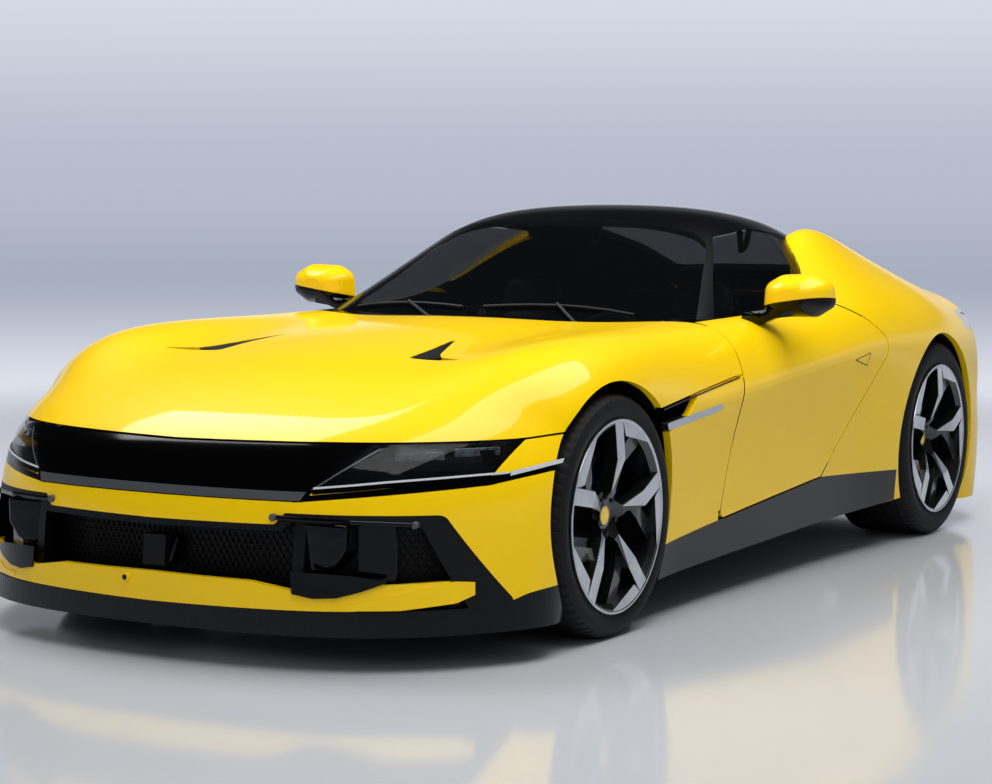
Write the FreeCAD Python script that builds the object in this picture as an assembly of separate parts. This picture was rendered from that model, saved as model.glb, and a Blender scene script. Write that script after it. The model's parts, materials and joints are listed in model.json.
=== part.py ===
import FreeCAD, Part
import math
import os
import time
from FreeCAD import Vector

os.makedirs("parts", exist_ok=True)
begun = time.time()

# Overall modules of the body grid, all in millimetres
width_module = 1000.0
length_module = 1000.0
height_module = 1000.0
grain = 1000.0

# Running gear
front_axle_y = -1380.0
rear_axle_y = 1320.0
front_track = 1686.0
rear_track = 1650.0
front_tyre_radius = 363.0
rear_tyre_radius = 377.0
front_tyre_width = 275.0
rear_tyre_width = 315.0
rim_radius = 284.0
rim_wall = 9.0
front_arch_radius = 402.0
rear_arch_radius = 414.0
front_house_inner_x = 520.0
rear_house_inner_x = 620.0
kingpin_x = 815.0

# Panels
skin_wall = 24.0
glass_wall = 5.0
shut_gap = 6.0
floor_wall = 20.0
overrun = 60.0
seat_gap = 0.3
pin_fit = 0.05
run_gap = 5.0


def grained(value):
    return value / grain


def across(share):
    return grained(share) * width_module


def along(share):
    return grained(share) * length_module


def up(share):
    return grained(share) * height_module


def spot(share):
    return Vector(across(share[0]), along(share[1]), up(share[2]))


def save(name, shape):
    shape.exportStep("parts/" + name + ".step")
    print(round(time.time() - begun), name, len(shape.Solids), round(shape.Volume / grain ** 2), shape.isValid())


# Body grid: each row runs from the centre line out over the wing and down the side,
# as thousandths of the width, length and height modules
body_grid_shares = [
    [(0, -2366, 100), (170, -2362, 100), (340, -2345, 100), (510, -2310, 100), (658, -2245, 100),
     (782, -2148, 100), (870, -2035, 100), (932, -1935, 100), (968, -1860, 100), (983, -1800, 100),
     (984, -1755, 100), (970, -1700, 100), (930, -1650, 100)],
    [(0, -2362, 250), (170, -2357, 250), (340, -2338, 250), (508, -2302, 250), (655, -2234, 250),
     (778, -2132, 250), (866, -2015, 250), (928, -1915, 250), (965, -1840, 250), (982, -1780, 248),
     (984, -1735, 225), (975, -1680, 170), (945, -1615, 100)],
    [(0, -2345, 400), (170, -2340, 400), (340, -2322, 400), (506, -2285, 400), (652, -2216, 400),
     (776, -2112, 400), (864, -1995, 400), (924, -1895, 400), (962, -1822, 400), (981, -1765, 385),
     (985, -1715, 330), (978, -1645, 220), (958, -1575, 100)],
    [(0, -2322, 490), (170, -2317, 490), (338, -2300, 492), (502, -2262, 497), (648, -2195, 505),
     (770, -2092, 513), (858, -1975, 520), (918, -1872, 525), (958, -1800, 515), (980, -1745, 485),
     (986, -1690, 410), (980, -1610, 270), (965, -1530, 100)],
    [(0, -2250, 612), (170, -2245, 613), (335, -2225, 615), (495, -2188, 619), (635, -2120, 624),
     (755, -2020, 628), (840, -1905, 628), (898, -1800, 624), (945, -1735, 610), (978, -1690, 570),
     (987, -1640, 480), (982, -1570, 300), (970, -1485, 100)],
    [(0, -2100, 690), (165, -2094, 690), (328, -2074, 690), (485, -2038, 690), (622, -1970, 697),
     (742, -1880, 705), (832, -1790, 700), (898, -1722, 680), (948, -1682, 652), (980, -1652, 610),
     (988, -1600, 530), (984, -1540, 340), (970, -1450, 100)],
    [(0, -1870, 768), (160, -1866, 767), (320, -1852, 764), (478, -1828, 762), (622, -1788, 774),
     (752, -1740, 784), (850, -1700, 768), (922, -1668, 732), (968, -1642, 692), (988, -1608, 637),
     (990, -1550, 545), (984, -1490, 350), (970, -1410, 100)],
    [(0, -1640, 815), (160, -1640, 814), (320, -1637, 808), (475, -1628, 806), (622, -1612, 828),
     (758, -1596, 850), (862, -1582, 828), (940, -1566, 780), (980, -1550, 728), (992, -1528, 670),
     (992, -1480, 560), (984, -1430, 350), (970, -1370, 100)],
    [(0, -1420, 848), (160, -1420, 846), (320, -1420, 838), (472, -1420, 834), (622, -1420, 858),
     (760, -1420, 882), (868, -1420, 868), (946, -1420, 820), (984, -1420, 760), (995, -1415, 690),
     (993, -1395, 560), (984, -1360, 350), (970, -1330, 100)],
    [(0, -1190, 872), (160, -1190, 870), (318, -1190, 862), (470, -1190, 856), (618, -1190, 874),
     (756, -1190, 894), (866, -1190, 880), (948, -1190, 828), (986, -1190, 750), (994, -1195, 675),
     (990, -1205, 540), (980, -1220, 330), (965, -1240, 100)],
    [(0, -950, 890), (160, -950, 888), (316, -950, 880), (466, -950, 874), (612, -950, 884),
     (748, -950, 894), (858, -950, 880), (945, -950, 812), (984, -950, 662), (982, -955, 622),
     (958, -965, 480), (943, -975, 300), (938, -985, 100)],
    [(0, -700, 903), (160, -700, 901), (314, -700, 894), (462, -700, 888), (606, -700, 892),
     (740, -700, 895), (848, -700, 878), (937, -700, 805), (980, -700, 674), (978, -700, 636),
     (948, -700, 485), (933, -700, 300), (932, -700, 100)],
    [(0, -430, 900), (160, -430, 900), (312, -430, 897), (458, -430, 895), (600, -430, 898),
     (728, -430, 900), (838, -430, 885), (932, -430, 812), (980, -430, 696), (977, -430, 658),
     (946, -430, 500), (930, -430, 305), (930, -430, 100)],
    [(0, -100, 880), (160, -100, 880), (312, -100, 882), (458, -100, 886), (600, -100, 896),
     (730, -100, 908), (842, -100, 892), (934, -100, 826), (983, -100, 724), (979, -100, 686),
     (947, -100, 520), (930, -100, 315), (930, -100, 100)],
    [(0, 250, 880), (160, 250, 880), (312, 250, 882), (458, 250, 890), (600, 250, 905),
     (733, 250, 930), (848, 250, 912), (940, 250, 850), (987, 250, 754), (982, 250, 714),
     (950, 250, 540), (932, 250, 325), (930, 250, 100)],
    [(0, 550, 895), (160, 550, 896), (310, 550, 900), (455, 550, 925), (595, 550, 1030),
     (722, 550, 1010), (850, 550, 950), (948, 550, 878), (992, 550, 782), (989, 550, 737),
     (962, 550, 560), (942, 550, 345), (938, 550, 100)],
    [(0, 800, 920), (160, 800, 922), (305, 800, 950), (445, 800, 1110), (572, 800, 1252),
     (682, 800, 1155), (818, 800, 1020), (942, 800, 905), (996, 800, 802), (999, 800, 737),
     (985, 795, 572), (968, 785, 370), (950, 770, 100)],
    [(0, 1050, 930), (160, 1050, 931), (305, 1050, 955), (450, 1050, 1090), (568, 1050, 1218),
     (672, 1050, 1135), (805, 1050, 1018), (935, 1050, 910), (997, 1050, 812), (1004, 1045, 722),
     (1000, 1030, 562), (985, 990, 362), (960, 930, 100)],
    [(0, 1290, 940), (160, 1290, 941), (305, 1290, 958), (448, 1290, 1045), (562, 1290, 1142),
     (668, 1290, 1088), (800, 1290, 1000), (930, 1290, 906), (994, 1285, 810), (1004, 1275, 712),
     (1002, 1240, 562), (988, 1150, 352), (965, 1020, 100)],
    [(0, 1540, 948), (160, 1540, 949), (303, 1540, 958), (444, 1540, 1004), (558, 1540, 1064),
     (668, 1535, 1032), (792, 1520, 970), (915, 1500, 888), (982, 1470, 794), (1002, 1430, 702),
     (1002, 1370, 562), (988, 1260, 342), (965, 1090, 100)],
    [(0, 1800, 948), (160, 1800, 949), (302, 1800, 953), (440, 1798, 966), (556, 1790, 996),
     (668, 1775, 974), (782, 1740, 928), (890, 1690, 862), (962, 1640, 778), (990, 1570, 690),
     (996, 1480, 552), (985, 1350, 332), (960, 1160, 100)],
    [(0, 2050, 942), (160, 2050, 942), (306, 2048, 944), (442, 2040, 946), (562, 2020, 952),
     (668, 1990, 936), (770, 1945, 900), (866, 1880, 842), (935, 1810, 762), (970, 1730, 675),
     (985, 1630, 537), (980, 1480, 322), (960, 1230, 100)],
    [(0, 2245, 936), (160, 2243, 936), (310, 2235, 935), (445, 2218, 933), (565, 2190, 928),
     (670, 2150, 912), (765, 2095, 880), (850, 2020, 828), (912, 1935, 745), (950, 1850, 645),
     (972, 1755, 502), (975, 1600, 302), (960, 1300, 100)],
    [(0, 2280, 902), (165, 2277, 901), (320, 2266, 899), (460, 2245, 896), (585, 2212, 888),
     (692, 2168, 872), (783, 2108, 842), (862, 2032, 790), (917, 1950, 708), (952, 1865, 610),
     (972, 1775, 462), (970, 1640, 272), (955, 1360, 100)],
    [(0, 2285, 790), (165, 2282, 790), (322, 2268, 788), (465, 2243, 785), (592, 2206, 778),
     (702, 2155, 765), (795, 2090, 740), (868, 2015, 695), (920, 1935, 625), (953, 1853, 532),
     (970, 1770, 402), (968, 1650, 242), (950, 1420, 100)],
    [(0, 2330, 640), (165, 2326, 640), (326, 2310, 638), (472, 2280, 635), (602, 2236, 628),
     (716, 2178, 615), (810, 2105, 592), (880, 2020, 555), (928, 1932, 500), (957, 1845, 427),
     (970, 1760, 332), (965, 1660, 212), (945, 1470, 100)],
    [(0, 2366, 470), (165, 2362, 470), (330, 2345, 468), (480, 2312, 465), (612, 2265, 460),
     (727, 2200, 450), (822, 2120, 435), (890, 2028, 410), (934, 1932, 375), (960, 1840, 327),
     (970, 1755, 262), (962, 1665, 182), (940, 1520, 100)],
    [(0, 2350, 280), (165, 2346, 280), (329, 2330, 279), (478, 2297, 277), (610, 2250, 275),
     (725, 2185, 270), (820, 2106, 262), (889, 2014, 250), (934, 1920, 235), (960, 1832, 212),
     (968, 1750, 182), (955, 1670, 147), (930, 1560, 100)],
    [(0, 2320, 100), (165, 2316, 100), (328, 2300, 100), (476, 2268, 100), (607, 2220, 100),
     (721, 2156, 100), (815, 2078, 100), (884, 1988, 100), (930, 1897, 100), (956, 1815, 100),
     (963, 1740, 100), (945, 1670, 100), (900, 1600, 100)],
]

# Canopy grid: windscreen, roof, side glass and fastback in the same order
canopy_grid_shares = [
    [(0, -730, 700), (200, -725, 700), (385, -700, 700), (560, -650, 700), (680, -600, 700),
     (770, -550, 700), (830, -500, 700), (850, -460, 700)],
    [(0, -690, 850), (200, -685, 850), (385, -660, 848), (560, -610, 842), (680, -560, 835),
     (770, -510, 828), (830, -470, 795), (850, -440, 700)],
    [(0, -510, 942), (200, -505, 940), (385, -485, 934), (555, -448, 924), (670, -405, 910),
     (760, -365, 888), (815, -345, 838), (850, -335, 700)],
    [(0, -280, 1090), (195, -275, 1087), (372, -255, 1078), (525, -215, 1056), (625, -165, 1025),
     (715, -130, 970), (790, -110, 890), (850, -100, 700)],
    [(0, -20, 1215), (190, -15, 1211), (360, 5, 1200), (500, 45, 1172), (585, 90, 1135),
     (680, 110, 1060), (785, 120, 930), (850, 130, 700)],
    [(0, 180, 1275), (185, 182, 1271), (350, 190, 1258), (485, 205, 1228), (565, 225, 1185),
     (665, 240, 1090), (780, 250, 945), (850, 260, 700)],
    [(0, 430, 1296), (180, 430, 1292), (345, 430, 1279), (475, 432, 1249), (552, 440, 1204),
     (655, 450, 1105), (775, 460, 960), (850, 470, 700)],
    [(0, 720, 1282), (178, 720, 1278), (335, 720, 1266), (462, 720, 1238), (540, 722, 1194),
     (640, 725, 1105), (765, 730, 980), (840, 735, 700)],
    [(0, 1000, 1238), (172, 1000, 1235), (325, 1000, 1223), (445, 1000, 1195), (520, 1000, 1153),
     (610, 1000, 1080), (730, 1000, 980), (820, 1000, 700)],
    [(0, 1350, 1150), (165, 1350, 1148), (310, 1350, 1138), (425, 1350, 1115), (500, 1350, 1080),
     (590, 1350, 1020), (700, 1350, 940), (800, 1350, 700)],
    [(0, 1700, 1058), (160, 1700, 1056), (300, 1700, 1048), (415, 1700, 1030), (490, 1700, 1000),
     (580, 1700, 955), (690, 1700, 890), (780, 1700, 700)],
    [(0, 2050, 965), (160, 2050, 964), (300, 2050, 958), (415, 2050, 945), (490, 2050, 925),
     (560, 2040, 888), (620, 2010, 830), (670, 1975, 700)],
    [(0, 2185, 900), (160, 2185, 900), (300, 2175, 893), (405, 2155, 880), (470, 2130, 858),
     (530, 2095, 820), (585, 2055, 775), (625, 2010, 700)],
    [(0, 2210, 700), (200, 2206, 700), (300, 2195, 700), (405, 2172, 700), (470, 2145, 700),
     (530, 2108, 700), (580, 2070, 700), (610, 2040, 700)],
]


def mirrored(vector):
    return Vector(-vector.x, vector.y, vector.z)


def full_rows(rows):
    whole = []
    for row in rows:
        half = [spot(share) for share in row]
        whole.append([mirrored(p) for p in half[:0:-1]] + half)
    return whole


# Moves each inner grid point inwards, square to the sheet
def inset_rows(rows, depth):
    moved = []
    last_row, last_col = len(rows) - 1, len(rows[0]) - 1
    for r, row in enumerate(rows):
        line = []
        for c, p in enumerate(row):
            run = rows[min(r + 1, last_row)][c] - rows[max(r - 1, 0)][c]
            over = row[min(c + 1, last_col)] - row[max(c - 1, 0)]
            normal = run.cross(over)
            if normal.Length > 0:
                normal.normalize()
            edge = r in (0, last_row) or c in (0, last_col)
            if edge:
                normal = Vector(normal.x, normal.y, 0)
                if normal.Length == 0:
                    normal = Vector(-p.x, 0, 0)
                if normal.Length > 0:
                    normal.normalize()
            step = normal * depth
            q = p + step
            if edge:
                q = Vector(q.x, q.y, p.z - depth)
            line.append(q)
        moved.append(line)
    return moved


# Clamped cubic poles whose surface runs to the outer grid points
def clamped(points):
    first = (points[0] * 2 + points[1]) / 3
    last = (points[-2] + points[-1] * 2) / 3
    return [points[0], first] + points[1:-1] + [last, points[-1]]


def clamped_knots(spans):
    knots = list(range(spans + 1))
    counts = [4] + [1] * (spans - 1) + [4]
    return knots, counts


def sheet(rows):
    wide = [clamped(row) for row in rows]
    columns = [clamped([row[c] for row in wide]) for c in range(len(wide[0]))]
    poles = [[column[r] for column in columns] for r in range(len(columns[0]))]
    uk, um = clamped_knots(len(rows) - 1)
    vk, vm = clamped_knots(len(rows[0]) - 1)
    surface = Part.BSplineSurface()
    surface.buildFromPolesMultsKnots(poles, um, vm, uk, vk, False, False, 3, 3)
    return surface


def closed_sheet(rows):
    skin = sheet(rows).toShape()
    rim = Part.Wire(Part.__sortEdges__(skin.Edges))
    base = Part.Face(rim)
    solid = Part.Solid(Part.Shell([skin, base]))
    if solid.Volume < 0:
        solid.reverse()
    return solid


# Closed outline with rounded corners: each corner is (u, v, radius) in thousandths
def rounded_wire(corners, place, module):
    spots = [place(u, v) for u, v, r in corners]
    count = len(corners)
    starts, middles, ends = [], [], []
    for i, (u, v, r) in enumerate(corners):
        here = spots[i]
        back = spots[i - 1] - here
        ahead = spots[(i + 1) % count] - here
        room = min(back.Length, ahead.Length) * 0.49
        back.normalize()
        ahead.normalize()
        half = back.getAngle(ahead) / 2
        radius = grained(r) * module
        if radius == 0 or half > math.pi / 2 - 0.02:
            starts.append(here)
            middles.append(None)
            ends.append(here)
            continue
        reach = min(radius / math.tan(half), room)
        radius = reach * math.tan(half)
        bisector = back + ahead
        bisector.normalize()
        centre = here + bisector * (radius / math.sin(half))
        starts.append(here + back * reach)
        middles.append(centre - bisector * radius)
        ends.append(here + ahead * reach)
    edges = []
    for i in range(count):
        if middles[i] is not None:
            edges.append(Part.Arc(starts[i], middles[i], ends[i]).toShape())
        nxt = starts[(i + 1) % count]
        if (nxt - ends[i]).Length > 0.001:
            edges.append(Part.makeLine(ends[i], nxt))
    return Part.Wire(edges)


def outline_face(corners, place, module, grow):
    face = Part.Face(rounded_wire(corners, place, module))
    if grow:
        wire = face.OuterWire.makeOffset2D(grow)
        face = Part.Face(wire)
    return face


def side_prism(corners, x_low, x_high, grow=0):
    face = outline_face(corners, lambda u, v: Vector(x_low, along(u), up(v)), length_module, grow)
    return face.extrude(Vector(x_high - x_low, 0, 0))


def plan_prism(corners, z_low, z_high, grow=0):
    face = outline_face(corners, lambda u, v: Vector(across(u), along(v), z_low), width_module, grow)
    return face.extrude(Vector(0, 0, z_high - z_low))


def front_prism(corners, y_low, y_high, grow=0):
    face = outline_face(corners, lambda u, v: Vector(across(u), y_low, up(v)), width_module, grow)
    return face.extrude(Vector(0, y_high - y_low, 0))


# Part of a disc about an axis along X, its angles read from +Y towards +Z
def sector(x_start, length, y_mid, z_mid, radius, low_angle, high_angle):
    pivot = Vector(x_start, y_mid, z_mid)
    axis = Vector(1, 0, 0)
    frame = FreeCAD.Placement(pivot, FreeCAD.Rotation(Vector(0, 1, 0), Vector(0, 0, 1), axis,
                                                      "ZXY"))
    wedge = Part.makeCylinder(radius, length, Vector(0, 0, 0), Vector(0, 0, 1),
                              high_angle - low_angle)
    wedge.rotate(Vector(0, 0, 0), Vector(0, 0, 1), low_angle)
    wedge.Placement = frame.multiply(wedge.Placement)
    return wedge


def box(x0, x1, y0, y1, z0, z1):
    return Part.makeBox(x1 - x0, y1 - y0, z1 - z0, Vector(x0, y0, z0))


def rod(x0, x1, y, z, radius):
    return Part.makeCylinder(radius, x1 - x0, Vector(x0, y, z), Vector(1, 0, 0))


def post(x, y, z0, z1, radius):
    return Part.makeCylinder(radius, z1 - z0, Vector(x, y, z0), Vector(0, 0, 1))


def mirror(shape):
    return shape.mirror(Vector(0, 0, 0), Vector(1, 0, 0))


def both(shape):
    return Part.makeCompound([shape, mirror(shape)])


def joined(shapes):
    first = shapes[0]
    return first.fuse(shapes[1:]) if len(shapes) > 1 else first


def clean(shape, least):
    solids = [s for s in shape.Solids if s.Volume > least]
    return solids[0] if len(solids) == 1 else Part.makeCompound(solids)


print("grids", round(time.time() - begun))
body_rows = full_rows(body_grid_shares)
canopy_rows = full_rows(canopy_grid_shares)
far = 3000.0
high = 1500.0
left_half = box(0, far, -far, far, -high, high)


def half_sheet(rows):
    return closed_sheet(rows).common(left_half)


# A central piece from its left half
def whole(shape):
    joined_shape = shape.fuse(mirror(shape))
    return joined_shape


def slab(y_low, y_high):
    return box(0, far, y_low, y_high, -high, high)


body = half_sheet(body_rows)
body_inner = half_sheet(inset_rows(body_rows, skin_wall))
canopy = half_sheet(canopy_rows)
canopy_inner = half_sheet(inset_rows(canopy_rows, skin_wall))
canopy_under_glass = half_sheet(inset_rows(canopy_rows, glass_wall))

# Outlines on the body, as thousandths: side ones give (along, up), plan ones (across, along)
# and front ones (across, up), each with a corner radius
hood_front_shares = [(-1200, 1300, 0), (-1200, 640, 0), (-985, 638, 0), (-890, 622, 300),
                     (-500, 619, 900), (0, 612, 3000), (500, 619, 900), (890, 622, 300),
                     (985, 638, 0), (1200, 640, 0), (1200, 1300, 0)]
hood_side_shares = [(-1450, 1300, 0), (-1450, 640, 0), (-1102, 666, 300), (-535, 727, 12),
                    (-480, 729, 12), (-437, 880, 0), (-405, 990, 0), (-405, 1300, 0)]
hood_plan_shares = [(-1200, -2700, 0), (1200, -2700, 0), (1200, -380, 0), (850, -428, 60),
                    (740, -468, 120), (560, -560, 400), (300, -628, 600), (0, -660, 3000),
                    (-300, -628, 600), (-560, -560, 400), (-740, -468, 120), (-850, -428, 60),
                    (-1200, -380, 0)]
door_side_shares = [(-580, 262, 25), (-498, 667, 400), (-437, 880, 0), (-405, 1000, 0),
                    (425, 1060, 0), (462, 950, 90), (640, 868, 260), (775, 772, 60),
                    (252, 323, 30)]
skirt_side_shares = [(-1060, 228, 0), (-580, 262, 0), (252, 323, 12), (900, 292, 0),
                     (900, 178, 0), (730, 172, 0), (-1060, 128, 0)]
trim_side_shares = [(-1060, 0, 0), (-1060, 128, 0), (730, 172, 0), (1000, 180, 0), (1000, 0, 0)]
side_window_shares = [(-345, 850, 0), (150, 1170, 80), (450, 1198, 500), (740, 1176, 90),
                      (885, 1108, 40), (560, 900, 0)]
quarter_split_shares = [(452, 850, 0), (632, 1300, 0), (1200, 1300, 0), (1200, 850, 0)]
windscreen_plan_shares = [(-790, -500, 0), (-547, 116, 70), (0, 20, 1500), (547, 116, 70),
                          (790, -500, 0), (0, -900, 0)]
tailgate_plan_shares = [(-452, 700, 0), (-452, 930, 60), (-412, 1400, 600), (-455, 1800, 400),
                        (-560, 2150, 60), (-300, 2232, 400), (0, 2246, 2000), (300, 2232, 400),
                        (560, 2150, 60), (455, 1800, 400), (412, 1400, 600), (452, 930, 60),
                        (452, 700, 0)]
rear_glass_plan_shares = [(-400, 965, 50), (-350, 1400, 500), (-365, 1760, 60), (0, 1790, 1500),
                          (365, 1760, 60), (350, 1400, 500), (400, 965, 50), (0, 955, 1500)]
bonnet_vent_shares = [(311, -1193, 6), (371, -1352, 200), (422, -1482, 150),
                      (454, -1526, 30), (566, -1585, 4), (352, -1553, 20), (345, -1408, 400)]
visor_front_shares = [(-470, 464, 8), (-628, 660, 0), (628, 660, 0), (470, 464, 8)]
lamp_front_shares = [(478, 484, 8), (622, 660, 0), (912, 660, 0), (872, 529, 12)]
blade_front_shares = [(440, 462, 0), (478, 482, 0), (872, 526, 60), (1040, 580, 0),
                      (1040, 556, 0), (872, 504, 60)]
intake_front_shares = [(-945, 150, 0), (-930, 195, 0), (-802, 430, 25), (-425, 434, 10),
                       (-398, 402, 10), (0, 398, 2000), (398, 402, 10), (425, 434, 10),
                       (802, 430, 25), (930, 195, 0), (945, 150, 0)]
mesh_front_shares = [(-860, 172, 0), (-760, 400, 20), (-448, 410, 10), (-420, 384, 10),
                     (0, 380, 2000), (420, 384, 10), (448, 410, 10), (760, 400, 20),
                     (860, 172, 0)]
low_blade_front_shares = [(0, 248, 0), (330, 244, 60), (470, 222, 60), (640, 240, 60),
                          (818, 248, 4), (832, 236, 4), (640, 172, 200), (0, 166, 0)]
splitter_front_shares = [(-1050, 232, 0), (-955, 200, 30), (-905, 166, 30), (905, 166, 30),
                         (955, 200, 30), (1050, 232, 0), (1050, 60, 0), (-1050, 60, 0)]
bumper_floor_share = 166
rear_bumper_front_shares = [(-1050, 612, 0), (-760, 600, 400), (760, 600, 400), (1050, 612, 0),
                            (1050, 60, 0), (-1050, 60, 0)]
diffuser_front_shares = [(-800, 60, 0), (-720, 268, 30), (-560, 300, 60), (560, 300, 60),
                         (720, 268, 30), (800, 60, 0)]
tail_panel_front_shares = [(-520, 800, 0), (-520, 884, 0), (520, 884, 0), (520, 800, 0)]
tail_lamp_front_shares = [(520, 800, 0), (520, 884, 0), (905, 850, 30), (960, 800, 20),
                          (900, 780, 30)]
vent_side_shares = [(-1130, 655, 0), (-830, 694, 8), (-905, 632, 20), (-1130, 560, 0)]
vent_blade_side_shares = [(-1075, 590, 6), (-1060, 616, 6), (-665, 648, 4), (-640, 634, 4),
                          (-700, 622, 30)]

door_inner_x = 765.0
door_x_far = 1150.0
door_hinge_x = 895.0
door_hinge_y = -632.0
sill_inner_x = 765.0
nose_end_y = -1620.0
tail_start_y = 1450.0
tail_lamp_start_y = 1800.0
splitter_rear_y = -1700.0
half_gap = shut_gap / 2
crumb = 10000.0


def stage(name):
    print(name, round(time.time() - begun, 1))


def wheel_house(axle_y, radius, wheel_z, x_in, x_out):
    return rod(x_in, x_out, axle_y, wheel_z, radius)


stage("skins")
front_arch = wheel_house(front_axle_y, front_arch_radius, front_tyre_radius,
                         front_house_inner_x, door_x_far)
rear_arch = wheel_house(rear_axle_y, rear_arch_radius, rear_tyre_radius,
                        rear_house_inner_x, door_x_far)
skin = body.cut([body_inner, front_arch, rear_arch])
stage("skin cut")


def hood_region(grow):
    ahead = front_prism(hood_front_shares, -far, front_axle_y + overrun, grow)
    behind = side_prism(hood_side_shares, -far, far, grow)
    plan = plan_prism(hood_plan_shares, 0, high, grow)
    return ahead.fuse(behind).common(plan)


bonnet_skin = skin.common(hood_region(-half_gap))
fixed = skin.cut(hood_region(half_gap))
stage("bonnet")

# Heights and distances from the hinge pin of the round face that the door's front edge
# turns past, and the wedge under the door that clears the sill
door_turn_shares = [(0, 40), (262, 63), (360, 82), (485, 110), (580, 135), (650, 155),
                    (690, 164), (740, 170), (810, 179), (880, 203), (905, 221), (1200, 300)]
door_heel_shares = [(-700, 100, 0), (-700, 272, 0), (-632, 275, 0), (-580, 277, 0),
                    (252, 323, 0), (252, 100, 0)]
door_heel_x = 905.0
# Relief in the fixed side, where the lowest front corner of the door swings past it
corner_relief_shares = [(-592, 262, 0), (-592, 292, 0), (-560, 292, 0), (-560, 262, 0)]
corner_relief_x = 920.0


def door_turn(grow):
    profile = [Vector(door_hinge_x, door_hinge_y, up(door_turn_shares[0][0]))]
    profile += [Vector(door_hinge_x + across(reach) + grow, door_hinge_y, up(level))
                for level, reach in door_turn_shares]
    profile.append(Vector(door_hinge_x, door_hinge_y, up(door_turn_shares[-1][0])))
    face = Part.Face(Part.makePolygon(profile + [profile[0]]))
    return face.revolve(Vector(door_hinge_x, door_hinge_y, 0), Vector(0, 0, 1), 360)


def door_zone(x_low, grow):
    return side_prism(door_side_shares, x_low, door_x_far, grow).cut(door_turn(-grow))


door_solid = body.common(door_zone(door_inner_x, -half_gap)).cut(
    side_prism(door_heel_shares, door_inner_x - overrun, door_heel_x))
fixed_door_cut = door_zone(door_inner_x - overrun, half_gap)
bonnet_skin = bonnet_skin.cut([fixed_door_cut, plan_prism(bonnet_vent_shares, 0, high)])
vent_inset = 12.0
bonnet_vent = half_sheet(inset_rows(body_rows, vent_inset)).cut(body_inner).common(
    plan_prism(bonnet_vent_shares, 0, high, -seat_gap)).common(box(0, far, -far, 0, up(600), high))
skirt = body.common(side_prism(skirt_side_shares, sill_inner_x, door_x_far)).cut(
    [front_arch, rear_arch, side_prism(door_side_shares, door_inner_x - overrun, door_x_far,
                                       half_gap)])
fixed = fixed.cut([
    fixed_door_cut,
    side_prism(corner_relief_shares, corner_relief_x, door_x_far),
    side_prism(skirt_side_shares, sill_inner_x, door_x_far, seat_gap),
    side_prism(trim_side_shares, sill_inner_x, door_x_far)])
stage("doors")

nose = fixed.common(slab(-far, nose_end_y))
middle = fixed.common(slab(nose_end_y, tail_start_y))
tail = fixed.common(slab(tail_start_y, far))
stage("split")

nose_body = body.common(slab(-far, nose_end_y))
nose_inner = body_inner.common(slab(-far, nose_end_y))
visor_prism = front_prism(visor_front_shares, -far, nose_end_y)
splitter_prism = front_prism(splitter_front_shares, -far, splitter_rear_y)
intake_prism = front_prism(intake_front_shares, -far, nose_end_y, -seat_gap)
mesh_prism = front_prism(mesh_front_shares, -far, nose_end_y)
low_blade_prism = front_prism(low_blade_front_shares, -far, nose_end_y)
splitter_cut = front_prism(splitter_front_shares, -far, nose_end_y, seat_gap)
visor = nose.common(visor_prism).cut([
    front_prism(lamp_front_shares, -far, nose_end_y, seat_gap),
    front_prism(blade_front_shares, -far, nose_end_y, seat_gap)])
cover_wall = 4.0
lamp_back_y = -1720.0
lamp_floor_share = 548
lamp_roof_share = 622
lens_radius = 19.0
lens_shelf = 11.0
lens_carrier_half = 25.0
# Plan of the pocket behind the lamp cover, and for each lens bar its ends across the car,
# its place along the car, its height and the depth of its carrier
lamp_pocket_shares = [(520, -2160, 0), (880, -1770, 0), (1200, -1770, 0), (1200, -2700, 0),
                      (520, -2700, 0)]
lens_shares = [(662, 798, -2068, 594, 190), (722, 858, -1905, 596, 110)]
cover_inner = half_sheet(inset_rows(body_rows, cover_wall))
lamp_cover = nose.common(front_prism(lamp_front_shares, -far, nose_end_y, -seat_gap)).cut(
    cover_inner)
lamp_case = half_sheet(inset_rows(body_rows, cover_wall + seat_gap)).common(
    front_prism(lamp_front_shares, -far, lamp_back_y, -seat_gap)).cut(
    [hood_region(shut_gap), wheel_house(front_axle_y, front_arch_radius + skin_wall,
                                        front_tyre_radius, front_house_inner_x - skin_wall,
                                        door_x_far),
     front_prism(blade_front_shares, -far, nose_end_y, seat_gap)])
lamp_case = lamp_case.cut(plan_prism(lamp_pocket_shares, up(lamp_floor_share),
                                     up(lamp_roof_share)))
lens_bars = []
for x_low, x_high, place, level, depth in lens_shares:
    middle_x = across((x_low + x_high) / 2)
    lens_bars.append(rod(across(x_low), across(x_high), along(place), up(level), lens_radius))
    lens_bars.append(box(middle_x - lens_carrier_half, middle_x + lens_carrier_half,
                         along(place), along(place + depth), up(level) - lens_shelf,
                         up(level) + lens_shelf))
lens_room = half_sheet(inset_rows(body_rows, cover_wall + run_gap)).cut(hood_region(shut_gap))
lamp_case = lamp_case.fuse([bar.common(lens_room) for bar in lens_bars])
for q in lamp_case.Solids:
    print("lamp case", round(q.Volume / 1000, 1), q.BoundBox)
lamp_blade = nose.common(front_prism(blade_front_shares, -far, nose_end_y, -seat_gap))
bumper = nose.cut([front_prism(lamp_front_shares, -far, nose_end_y),
                   front_prism(blade_front_shares, -far, nose_end_y),
                   front_prism(visor_front_shares, -far, nose_end_y, seat_gap),
                   splitter_cut,
                   front_prism(intake_front_shares, -far, nose_end_y)])
stage("bumper")
splitter = nose_body.common(splitter_prism).cut(front_arch)
frame_band = nose.common(intake_prism).cut([mesh_prism, splitter_cut, low_blade_prism])
low_blade = nose.common(low_blade_prism)
stage("frame")

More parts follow.
